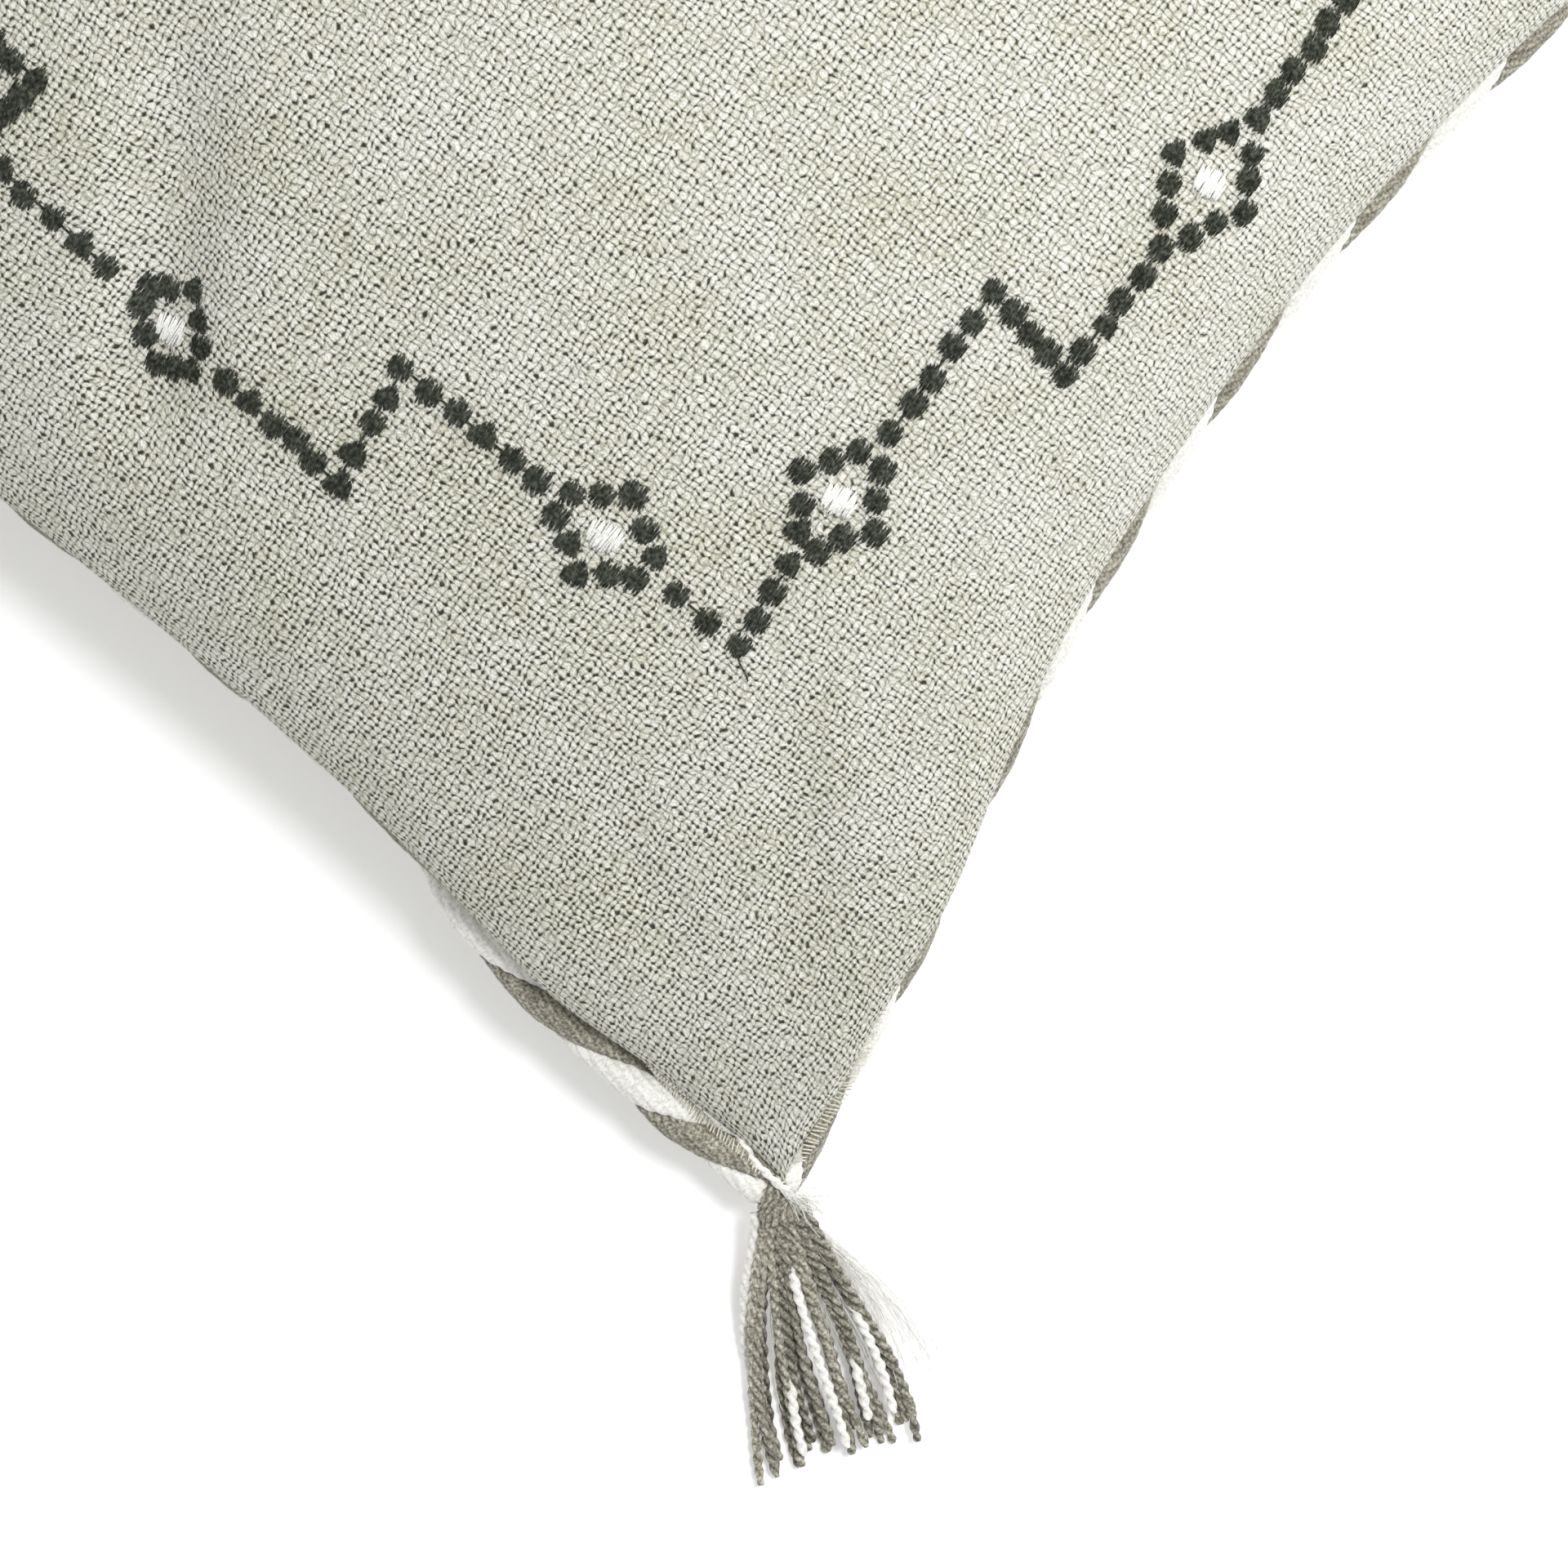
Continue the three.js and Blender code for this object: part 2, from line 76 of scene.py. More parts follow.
# %% Form functions
HALF_SIDE = 0.227
FRONT_PULL_IN, RIGHT_PULL_IN, LEFT_PULL_IN, ZIP_PULL_IN = 0.046, 0.030, 0.018, 0.014
CORNER_SEAM_Z, SEAM_RISE, ZIP_SEAM_RISE = 0.018, 0.032, 0.026
ZIP_STRAIGHT, ZIP_END_CURVE = 0.6, 1.6
ZIP_DIP, ZIP_DIP_FADE = 0.0174, 0.14  # the back panel drops below the seam to make room for the zip
CROWN_UP, CROWN_DOWN = 0.082, 0.066
LEFT_BELLY, FRONT_BELLY, PLAIN_BELLY = 0.024, 0.0205, 0.016
HALF_SEAM_GAP = 0.0002
CORNER_SHIFT = np.array([-0.0038, 0.0028])  # the near left corner is pulled a little to one side
FRONT_SHOULDER, LEFT_SHOULDER = 0.0055, 0.003  # the cloth stands out further just before a corner


def smooth(x, start, end):
    t = np.clip((x - start) / (end - start), 0, 1)
    return t * t * (3 - 2 * t)


def zip_share(along):
    """1 along the straight zip, falling to 0 at the corners."""
    past = np.maximum(0, np.abs(along) - ZIP_STRAIGHT) / (1 - ZIP_STRAIGHT)
    return 1 - past**ZIP_END_CURVE


def seam_height(u, v):
    towards_zip = np.maximum(0, v) ** 2
    plain = SEAM_RISE * (1 - u * u * v * v)
    extra = ZIP_SEAM_RISE * zip_share(u) - SEAM_RISE * (1 - u * u)
    return CORNER_SEAM_Z + plain + towards_zip * extra


def shoulder(along):
    """1 just before a corner, 0 along the middle of a side and at the corner itself."""
    return smooth(np.abs(along), 0.35, 0.75) * (1 - smooth(np.abs(along), 0.86, 1.0))


def plan_point(u, v):
    drawn_in = np.where(v > 0, ZIP_PULL_IN * zip_share(u), FRONT_PULL_IN * (1 - u * u))
    x = u * (HALF_SIDE - np.where(u > 0, RIGHT_PULL_IN, LEFT_PULL_IN) * (1 - v * v))
    y = v * (HALF_SIDE - drawn_in)
    x = x - LEFT_SHOULDER * shoulder(v) * np.maximum(0, -u) ** 3
    y = y - FRONT_SHOULDER * shoulder(u) * np.maximum(0, -v) ** 3
    shifted = (np.maximum(0, -u) * np.maximum(0, -v)) ** 3
    return x + CORNER_SHIFT[0] * shifted, y + CORNER_SHIFT[1] * shifted


def fullness(u, v):
    """1 in the middle of a panel and 0 all along its seam."""
    return np.sqrt(np.maximum(0, (1 - u * u) * (1 - v * v)))


def bulge(across):
    """How far the cloth stands out over its seam, from 0 at the seam to its most just inside."""
    angle = np.arccos(np.minimum(1, np.abs(across)))
    return np.where(angle < np.pi / 3, np.sin(3 * angle) * np.cos(1.5 * angle) ** 2, 0)


def belly(strength, along):
    return strength * (1 - smooth(np.abs(along), 0.65, 0.97))


def front_point(u, v):
    x, y = plan_point(u, v)
    x = x + np.sign(u) * belly(np.where(u < 0, LEFT_BELLY, PLAIN_BELLY), v) * bulge(u)
    y = y + np.sign(v) * belly(np.where(v < 0, FRONT_BELLY, PLAIN_BELLY), u) * bulge(v)
    z = seam_height(u, v) + HALF_SEAM_GAP + CROWN_UP * fullness(u, v)
    return np.stack([x, y, z], -1)


def back_point(u, v):
    x, y = plan_point(u, v)
    along_zip = 1 - smooth(np.abs(u), ZIP_STRAIGHT, ZIP_STRAIGHT + ZIP_DIP_FADE)
    dip = ZIP_DIP * along_zip * np.maximum(0, v) ** 6
    z = seam_height(u, v) - HALF_SEAM_GAP - CROWN_DOWN * fullness(u, v) - dip
    return np.stack([x, y, np.maximum(0, z)], -1)


low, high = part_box("cover_front")
crown = front_point(np.array(0.0), np.array(0.0))[2]
print("CAD front panel", tuple(low), tuple(high), "own form top", crown)

# %% [markdown]
# ## Colours and shader helpers
#
# Colours are picked as they look under daylight and turned into linear values once, here. Every
# finish is made of a few shader nodes with real sizes in millimetres.

# %% Colour and shader helpers
MM = 0.001


def linear(code):
    values = [int(code[i : i + 2], 16) / 255 for i in (1, 3, 5)]
    return [v / 12.92 if v <= 0.04045 else ((v + 0.055) / 1.055) ** 2.4 for v in values] + [1.0]


def add_node(tree, kind, links=None, **settings):
    """A node with its settings. links gives its inputs, by name or number, a value or a socket."""
    made = tree.nodes.new(kind)
    for key, value in settings.items():
        setattr(made, key, value)
    for key, value in (links or {}).items():
        if isinstance(value, bpy.types.NodeSocket):
            tree.links.new(value, made.inputs[key])
        else:
            made.inputs[key].default_value = value
    return made


def maths(tree, operation, *values):
    links = dict(enumerate(values))
    return add_node(tree, "ShaderNodeMath", links, operation=operation).outputs[0]


def ramp(tree, value, *stops):
    """Colours by value, from (place, colour) stops."""
    made = add_node(tree, "ShaderNodeValToRGB", {0: value})
    points = made.color_ramp.elements
    for place, _ in stops[1:-1]:
        points.new(place)
    for point, (place, colour) in zip(points, stops):
        point.position = place
        point.color = linear(colour)
    return made.outputs[0]


def mix(tree, share, a, b, blend="MIX"):
    links = {"Factor": share, 6: a, 7: b}
    return add_node(tree, "ShaderNodeMix", links, data_type="RGBA", blend_type=blend).outputs[2]


def material(name, roughness=0.9, sheen=0.0, metallic=0.0):
    made = bpy.data.materials.new(name)
    made.use_nodes = True
    tree = made.node_tree
    shader = tree.nodes["Principled BSDF"]
    shader.inputs["Roughness"].default_value = roughness
    shader.inputs["Sheen Weight"].default_value = sheen
    shader.inputs["Sheen Roughness"].default_value = 0.5
    shader.inputs["Metallic"].default_value = metallic
    shader.inputs["Specular IOR Level"].default_value = 0.5 if metallic else 0.25
    return made, tree, shader


def vector_maths(tree, operation, links):
    return add_node(tree, "ShaderNodeVectorMath", links, operation=operation).outputs[0]


def set_colour(tree, shader, socket):
    tree.links.new(socket, shader.inputs["Base Color"])


def set_bump(tree, shader, height, depth):
    links = {"Strength": 1.0, "Distance": depth, "Height": height}
    made = add_node(tree, "ShaderNodeBump", links)
    tree.links.new(made.outputs[0], shader.inputs["Normal"])


def noise(tree, vector, scale, detail=2.0, kind="3D"):
    links = {"Vector": vector, "Scale": scale, "Detail": detail}
    return add_node(tree, "ShaderNodeTexNoise", links, noise_dimensions=kind)


# %% [markdown]
# ## Slub weave
#
# The front is a plain weave of thick, uneven cotton-linen yarns 1.7 mm apart. Each yarn passes
# over one and under the next, so the surface is a chequerboard of round floats with pores at their
# corners. The floats differ in size and tint, as the yarn is spun from mixed heather fibres, and
# the pores gape wider towards the left side. Floats in real geometry would need millions of faces,
# so sine waves along both yarns draw them in the material instead. Its colour carries painted shade
# in the pores and between the floats, painted highlight on the float tops, and painted shade over
# the left side.


# %% Woven cloth material
def per_cell(tree, place):
    """A random value for each whole cell of a place counted in yarns."""
    links = {0: vector_maths(tree, "FLOOR", {0: place})}
    return add_node(tree, "ShaderNodeTexWhiteNoise", links, noise_dimensions="2D").outputs["Value"]


def woven(name, pitch, stops, uneven, depth, tint, left_shade_and_gape_most=1.0):
    """A plain weave with painted shade between its floats and painted highlight on their tops.
    uneven is how far the yarns wander, in yarns, depth the relief, tint how strongly odd floats are
    coloured, and the last argument how much wider the pores gape and how much darker the cloth is
    painted, as painted shade, far to the left."""
    made, tree, shader = material(name, 0.92, 0.25)
    cloth = add_node(tree, "ShaderNodeUVMap", uv_map="Cloth").outputs[0]
    yarns = vector_maths(tree, "SCALE", {0: cloth, 3: 1 / pitch})
    drift = noise(tree, yarns, 0.42, 2.5, "2D").outputs["Color"]
    centred = vector_maths(tree, "SUBTRACT", {0: drift, 1: (0.5, 0.5, 0.5)})
    pushed = vector_maths(tree, "MULTIPLY_ADD", {0: centred, 1: (uneven,) * 3, 2: yarns})
    split = add_node(tree, "ShaderNodeSeparateXYZ", {0: pushed})
    phases = [maths(tree, "MULTIPLY", split.outputs[i], math.pi) for i in (0, 1)]
    waves = [maths(tree, "SINE", phase) for phase in phases]
    over = maths(tree, "SIGN", maths(tree, "MULTIPLY", *waves))
    floats = []
    for wave, lean in zip(waves, (0.2, -0.2)):
        edge = maths(tree, "MULTIPLY_ADD", over, lean, 0.5)
        rise = maths(tree, "POWER", maths(tree, "ABSOLUTE", wave), edge)
        floats.append(maths(tree, "MULTIPLY_ADD", rise, 0.66, 0.34))
    height = maths(tree, "MULTIPLY", *floats)
    gaps = [maths(tree, "SUBTRACT", 1.0, maths(tree, "ABSOLUTE", wave)) for wave in waves]
    chance = per_cell(tree, pushed)
    luck = per_cell(tree, vector_maths(tree, "ADD", {0: pushed, 1: (0.5, 0.5, 0)}))
    # Painted shade: the pores are darkened where they open.
    pore = maths(tree, "POWER", maths(tree, "MULTIPLY", *gaps), 1.7)
    place = add_node(tree, "ShaderNodeSeparateXYZ", {0: cloth}).outputs[0]
    # Painted shade over the left side: there the cloth is darker and its pores gape wider.
    span = {0: place, 1: -0.06, 2: -0.2, 3: 1.0, 4: left_shade_and_gape_most}
    left_shade_and_gape = add_node(tree, "ShaderNodeMapRange", span).outputs[0]
    gape = maths(tree, "MULTIPLY", maths(tree, "MULTIPLY_ADD", luck, 1.5, -0.1), left_shade_and_gape)
    opened = maths(tree, "MULTIPLY", pore, gape)
    fibres = noise(tree, yarns, 2.6, 3.0, "2D").outputs[0]
    floated = maths(tree, "MULTIPLY_ADD", chance, 0.22, height)
    level = maths(tree, "MULTIPLY_ADD", fibres, 1.1, floated)
    left_shaded_level = maths(tree, "MULTIPLY_ADD", left_shade_and_gape, -0.03, maths(tree, "MULTIPLY", level, 0.5))
    shade = maths(tree, "SUBTRACT", maths(tree, "ADD", left_shaded_level, 0.03), opened)
    # The ramp paints shade in the pores and low places and highlight on the float tops.
    colour = ramp(tree, shade, *stops)
    patches = noise(tree, yarns, 0.05, 3.0, "2D").outputs[0]
    tone = ramp(tree, patches, (0.32, "#a3a394"), (0.5, "#bcbcb6"), (0.68, "#cdcdcb"))
    slub = maths(tree, "MULTIPLY", maths(tree, "GREATER_THAN", chance, 0.9), tint)
    flecked = mix(tree, slub, colour, linear("#b3ad90"))
    soft = mix(tree, 0.75, flecked, tone, "SOFT_LIGHT")
    set_colour(tree, shader, soft)
    bulk = maths(tree, "SUBTRACT", level, maths(tree, "MULTIPLY", opened, 0.7))
    set_bump(tree, shader, bulk, depth)
    return made


# Cloth colours running from painted shade in the pores to painted highlight on the float tops.
WEAVE_COLOUR_AND_SHADE_STOPS = [
    (0.0, "#2b2c20"), (0.3, "#6e6f5f"), (0.48, "#b3b3a3"), (0.66, "#d6d5c9"), (0.88, "#faf9f2"),
]
# Slubby cotton-linen plain weave in mixed pale grey-beige yarns.
slub_weave = woven("Slub weave, cotton and linen", 1.71 * MM, WEAVE_COLOUR_AND_SHADE_STOPS, 1.7, 0.6 * MM, 0.25, 2.2)
# Cloth colours with painted shade between the floats and painted highlight on them.
BACK_COLOUR_AND_SHADE_STOPS = [(0.2, "#8d8a7c"), (0.45, "#b3afa0"), (0.7, "#c4c1b3"), (0.9, "#d6d3c7")]
# Lighter, closer cotton-linen cloth for the back panel.
back_cloth = woven("Back cloth, cotton and linen", 0.8 * MM, BACK_COLOUR_AND_SHADE_STOPS, 0.5, 0.15 * MM, 0.1)
# Cloth colours with painted shade between the floats and painted highlight on them.
CASING_COLOUR_AND_SHADE_STOPS = [(0.36, "#dcd9d0"), (0.6, "#f0eee8"), (0.9, "#f8f7f3")]
# Fine white cotton for the insert's casing.
casing_cotton = woven("Casing cotton", 0.4 * MM, CASING_COLOUR_AND_SHADE_STOPS, 0.3, 0.05 * MM, 0.05)


# %% [markdown]
# ## Yarns and threads
#
# The yarn materials carry a fine streak along the yarn, a tweedy mix of tints and painted shade in
# the grooves between their strands. The stitched threads are smoother, as stranded cotton has a
# soft shine.


# %% Yarn and thread materials
def yarn(name, base, dark, light, sheen, scale, depth, shadow=1.0):
    """A yarn's finish. A value stored on the mesh darkens its grooves as painted shade, mixed with
    a random tone per strand, by shadow at most.
    """
    made, tree, shader = material(name, 0.95, sheen)
    place = add_node(tree, "ShaderNodeTexCoord").outputs["Object"]
    fine = noise(tree, place, scale, 3.0).outputs[0]
    broad = noise(tree, place, scale * 0.12, 2.0).outputs[0]
    both = maths(tree, "MULTIPLY_ADD", broad, 0.15, maths(tree, "MULTIPLY", fine, 0.85))
    tinted = ramp(tree, both, (0.36, dark), (0.5, base), (0.64, light))
    # Painted shade in the grooves, mixed with random tone, read from the mesh.
    groove_shade_and_tone = add_node(tree, "ShaderNodeAttribute", attribute_name="groove_shade_and_tone").outputs["Fac"]
    lit = maths(tree, "MULTIPLY_ADD", groove_shade_and_tone, -shadow, 1.0)
    set_colour(tree, shader, vector_maths(tree, "SCALE", {0: tinted, 3: lit}))
    set_bump(tree, shader, fine, depth)
    return made


# Taupe wool-blend yarn, tweedy with grey and olive fibres.
taupe_yarn = yarn("Taupe wool yarn", "#a5a191", "#737063", "#cbc8ba", 0.2, 1400, 0.16 * MM)
# Ivory cotton yarn, soft and slightly fluffy.
ivory_yarn = yarn("Ivory cotton yarn", "#efeee8", "#dad9d1", "#fbfaf7", 0.5, 1300, 0.12 * MM, 0.16)
# Dark green stranded cotton for the satin-stitched dots.
green_thread = yarn("Green stranded cotton", "#35392e", "#14160f", "#5c6154", 0.1, 1100, 0.06 * MM)
# White stranded cotton for the ovals.
white_thread = yarn("White stranded cotton", "#f4f4f0", "#dcdcd6", "#fbfbf8", 0.2, 1800, 0.04 * MM)
# Ecru sewing thread for the stitches that hold the cord.
ecru_thread = yarn("Ecru sewing thread", "#dcd8c8", "#b4af9c", "#efece0", 0.1, 2500, 0.02 * MM)
# Loose white polyester fibre.
fibre_fill = yarn("Fibre filling", "#f6f5f1", "#e6e4de", "#fdfdfb", 0.3, 200, 1.0 * MM)

# %% [markdown]
# ## Mesh helpers
#
# Every piece is built from arrays of points: sheets from a grid, yarns from rings along a path.
# One helper makes a mesh object and smooths it, and one lays a tube of any section along a path.


# %% Mesh helpers
def make_object(name, points, faces, finish, uv=None, groove_shade_and_tone=None):
    mesh = bpy.data.meshes.new(name)
    mesh.from_pydata(np.asarray(points).tolist(), [], [tuple(int(i) for i in f) for f in faces])
    if uv is not None:
        layer = mesh.uv_layers.new(name="Cloth")
        corners = np.zeros(len(mesh.loops), np.int32)
        mesh.loops.foreach_get("vertex_index", corners)
        layer.data.foreach_set("uv", np.asarray(uv, np.float32)[corners].ravel())
    # Painted groove shade with random tone, kept on the mesh.
    if groove_shade_and_tone is not None:
        layer = mesh.attributes.new("groove_shade_and_tone", "FLOAT", "POINT")
        layer.data.foreach_set("value", np.asarray(groove_shade_and_tone, np.float32))
    mesh.shade_smooth()
    mesh.materials.append(finish)
    made = bpy.data.objects.new(name, mesh)
    bpy.context.scene.collection.objects.link(made)
    return made


def unit(vectors):
    return vectors / np.linalg.norm(vectors, axis=1, keepdims=True)


def distances(path):
    return np.concatenate([[0], np.cumsum(np.linalg.norm(np.diff(path, axis=0), axis=1))])


def frames_along(path):
    """Unit tangent, side and lift vectors at each point of a path. The lift points up."""
    tangent = unit(np.gradient(path, axis=0))
    side = unit(np.cross(tangent, (0, 0, 1.0)))
    return tangent, side, np.cross(side, tangent)


def angles(sides):
    return np.linspace(0, 2 * np.pi, sides, endpoint=False)


def tube(path, reach, base=0):
    """Points and faces of a closed tube. reach gives the section's radius at each ring and angle,
    where angle 0 is to the side of the path and a quarter turn is up."""
    path = np.asarray(path, float)
    rings, sides = reach.shape
    _, side, lift = frames_along(path)
    angle = angles(sides)
    ring = path[:, None] + reach[..., None] * (
        np.cos(angle)[None, :, None] * side[:, None] + np.sin(angle)[None, :, None] * lift[:, None]
    )
    points = np.concatenate([ring.reshape(-1, 3), path[:1], path[-1:]])
    i, k = np.meshgrid(np.arange(rings - 1), np.arange(sides), indexing="ij")
    k2 = (k + 1) % sides
    quads = np.stack([i * sides + k, (i + 1) * sides + k, (i + 1) * sides + k2, i * sides + k2], -1)
    faces = [tuple(q) for q in (quads.reshape(-1, 4) + base).tolist()]
    start_cap, end_cap = base + rings * sides, base + rings * sides + 1
    last_ring = base + (rings - 1) * sides
    for k in range(sides):
        n = (k + 1) % sides
        faces.append((start_cap, base + k, base + n))
        faces.append((end_cap, last_ring + n, last_ring + k))
    return points, faces


def lobes(angle, count, depth):
    """A section with count round strands and grooves of the given depth between them."""
    return 1 - depth + depth * np.abs(np.cos(count * angle / 2))


def groove_shade(crown):
    """How much darker each point is. crown is 0 at the bottom of a groove and 1 on a strand."""
    return 0.7 * (1 - crown) ** 1.2


def two_ply(angle):
    """Two round strands side by side, each 0.62 of the yarn's radius, with centres 0.38 out."""
    return 0.38 * np.abs(np.cos(angle)) + np.sqrt(0.62**2 - (0.38 * np.sin(angle)) ** 2)


CUT_END_SHADE = 0.3


def round_thread(path, radius, sides=5):
    return path, np.full((len(path), sides), radius), np.zeros((len(path), sides))


def join_tubes(name, tubes, finish):
    """One object from tubes, each given as its path, its section's reach and its painted groove
    shade mixed with random tone.
    """
    points, faces, groove_shades_and_tones = [], [], []
    count = 0
    for path, reach, groove_shade_and_tone in tubes:
        p, f = tube(path, reach, base=count)
        points.append(p)
        faces.extend(f)
        groove_shades_and_tones += [groove_shade_and_tone.ravel(), [CUT_END_SHADE] * 2]
        count += len(p)
    return make_object(name, np.concatenate(points), faces, finish, groove_shade_and_tone=np.concatenate(groove_shades_and_tones))


# %% [markdown]
# ## Front and back panels
#
# Each panel is one square of cloth, cut slightly larger than the form and sewn along its edge.
# A short cloth simulation with pressure behind it gives the soft unevenness of a stuffed cover.
# The cloth's own coordinates are measured along its yarns, so the weave keeps its pitch on curves.

# %% Panel grid and cloth simulation
STEPS = 96
CLOTH = 1.0 * MM
SETTLING_FRAMES = 20
lines = np.sin(np.pi * (np.arange(STEPS + 1) / STEPS - 0.5))
U, V = np.meshgrid(lines, lines)


def grid_faces(n, base=0):
    i, j = np.meshgrid(np.arange(n - 1), np.arange(n - 1))
    quads = np.stack([j * n + i, j * n + i + 1, (j + 1) * n + i + 1, (j + 1) * n + i], -1)
    return (quads.reshape(-1, 4) + base).tolist()


def simulated(name, rest, cap):
    """The grid after a short simulation, with no point moved further than cap."""
    n = rest.shape[0]
    made = make_object(name, rest.reshape(-1, 3), grid_faces(n), slub_weave)
    group = made.vertex_groups.new(name="sewn")
    border = [j * n + i for j in range(n) for i in range(n) if i in (0, n - 1) or j in (0, n - 1)]
    group.add(border, 1.0, "REPLACE")
    cloth = made.modifiers.new("Cloth", "CLOTH")
    s = cloth.settings
    s.quality = 5
    s.mass = 0.35
    s.tension_stiffness = s.compression_stiffness = 20
    s.shear_stiffness = 8
    s.bending_stiffness = 2.0
    s.use_pressure = True
    s.uniform_pressure_force = 4
    s.shrink_min = -0.015
    s.vertex_group_mass = "sewn"
    s.effector_weights.gravity = 0
    cloth.collision_settings.use_collision = False
    cloth.point_cache.frame_start, cloth.point_cache.frame_end = 1, SETTLING_FRAMES
    scene = bpy.context.scene
    for step in range(1, SETTLING_FRAMES + 1):
        scene.frame_set(step)
    shown = made.evaluated_get(bpy.context.evaluated_depsgraph_get())
    moved = np.zeros(n * n * 3)
    shown.data.vertices.foreach_get("co", moved)
    scene.frame_set(1)
    bpy.data.objects.remove(made)
    change = moved.reshape(n, n, 3) - rest
    size = np.linalg.norm(change, axis=-1, keepdims=True)
    inner = smooth(fullness(U, V), 0.15, 0.6)[..., None]
    return rest + inner * change * cap / (cap + size)


def crease(points):
    """A shallow fold in the front panel near its left side, where the filling has parted."""
    line = np.array([[-0.192, -0.012], [-0.168, 0.0], [-0.132, 0.022], [-0.100, 0.045]])
    depth = np.zeros(points.shape[:2])
    for i, (a, b) in enumerate(zip(line[:-1], line[1:])):
        share = np.clip(((points[..., :2] - a) @ (b - a)) / ((b - a) @ (b - a)), 0, 1)
        gap = np.linalg.norm(points[..., :2] - (a + share[..., None] * (b - a)), axis=-1)
        along = (i + share) / (len(line) - 1)
        fade = smooth(along, -0.05, 0.3) * (1 - smooth(along, 0.6, 1.05))
        depth = np.maximum(depth, fade * np.exp(-((gap / 0.011) ** 2)))
    out = points.copy()
    out[..., 2] -= 8 * MM * depth
    return out


INSERT_SHARE = (0.982, 0.982, 1)
INSERT_OUTER, INSERT_INNER, FILLING_DEPTH = 1.8 * MM, 2.4 * MM, 3.2 * MM
front = front_point(U, V)
back = back_point(U, V)
front = simulated("front panel cloth", front, 5 * MM)
back = simulated("back panel cloth", back, 3 * MM)
back[..., 2] = np.maximum(0, back[..., 2])
front = crease(front)
print("front panel top", front[..., 2].max(), "back panel lowest", back[..., 2].min())


# %% Refine the panels
def refined(grid):
    """The grid with its steps halved by Catmull-Rom midpoints."""
    for axis in (0, 1):
        g = np.moveaxis(grid, axis, 0)
        before = np.concatenate([2 * g[:1] - g[1:2], g[:-2]])
        after = np.concatenate([g[2:], 2 * g[-1:] - g[-2:-1]])
        middle = (9 * (g[:-1] + g[1:]) - before - after) / 16
        full = np.empty((2 * len(g) - 1,) + g.shape[1:])
        full[0::2], full[1::2] = g, middle
        grid = np.moveaxis(full, 0, axis)
    return grid


def normals_of(grid, up):
    across = np.gradient(grid, axis=1)
    along = np.gradient(grid, axis=0)
    normal = np.cross(across, along) * up
    length = np.linalg.norm(normal, axis=-1, keepdims=True)
    return normal / np.maximum(length, 1e-12)


def cloth_places(grid):
    """Distances along the yarns from the panel's middle lines."""
    middle = grid.shape[0] // 2
    steps_x = np.linalg.norm(np.diff(grid, axis=1), axis=-1)
    steps_y = np.linalg.norm(np.diff(grid, axis=0), axis=-1)
    x = np.concatenate([np.zeros_like(grid[:, :1, 0]), np.cumsum(steps_x, axis=1)], axis=1)
    y = np.concatenate([np.zeros_like(grid[:1, :, 0]), np.cumsum(steps_y, axis=0)], axis=0)
    return np.stack([x - x[:, middle : middle + 1], y - y[middle : middle + 1]], -1)


def shell(name, grid, up, outer, inner, finish):
    """A closed shell of cloth between two depths below the grid."""
    n = grid.shape[0]
    normal = normals_of(grid, up)
    layers = [grid - outer * normal, grid - inner * normal]
    for layer, depth in zip(layers, (outer, inner)):
        layer[..., 2] = np.maximum(layer[..., 2], depth)
    points = np.concatenate([g.reshape(-1, 3) for g in layers])
    top = [f if up > 0 else f[::-1] for f in grid_faces(n)]
    bottom = [f[::-1] if up > 0 else f for f in grid_faces(n, n * n)]
    rim = [i for i in range(n)] + [j * n + n - 1 for j in range(1, n)]
    rim += [(n - 1) * n + i for i in range(n - 2, -1, -1)] + [j * n for j in range(n - 2, 0, -1)]
    walls = []
    for a, b in zip(rim, rim[1:] + rim[:1]):
        wall = (a, a + n * n, b + n * n, b)
        walls.append(wall if up > 0 else wall[::-1])
    places = cloth_places(grid).reshape(-1, 2)
    return make_object(name, points, top + bottom + walls, finish, np.concatenate([places, places]))


fine_front = refined(front)
cover_front = shell("woven_cover_front", fine_front, 1, 0.0, CLOTH, slub_weave)
cover_back = shell("woven_cover_back", back, -1, 0.0, CLOTH, back_cloth)
# The insert stops short of the cover's seam, and is pressed deeper where the cover is creased.
insert_front = crease(front)[::2, ::2] * INSERT_SHARE
insert_back = back[::2, ::2] * INSERT_SHARE
casing = (INSERT_OUTER, INSERT_INNER, casing_cotton)
casing_front = shell("cotton_casing_front", insert_front, 1, *casing)
casing_back = shell("cotton_casing_back", insert_back, -1, *casing)
print("panels:", len(cover_front.data.polygons), "and", len(cover_back.data.polygons), "faces")


# %% Insert filling
def solid_between(name, top, bottom, depth, finish):
    """A closed body between two grids, depth inside them, which share one rim."""
    n = top.shape[0]
    upper = top - depth * normals_of(top, 1)
    lower = bottom - depth * normals_of(bottom, -1)
    lower[..., 2] = np.maximum(lower[..., 2], depth)
    rim = np.zeros((n, n), bool)
    rim[0], rim[-1], rim[:, 0], rim[:, -1] = True, True, True, True
    upper[rim] = lower[rim] = (upper[rim] + lower[rim]) / 2
    low_number = np.arange(n * n).reshape(n, n)
    low_number[~rim] = n * n + np.arange((~rim).sum())
    points = np.concatenate([upper.reshape(-1, 3), lower[~rim]])
    faces = grid_faces(n) + low_number.ravel()[grid_faces(n)][:, ::-1].tolist()
    return make_object(name, points, faces, finish)


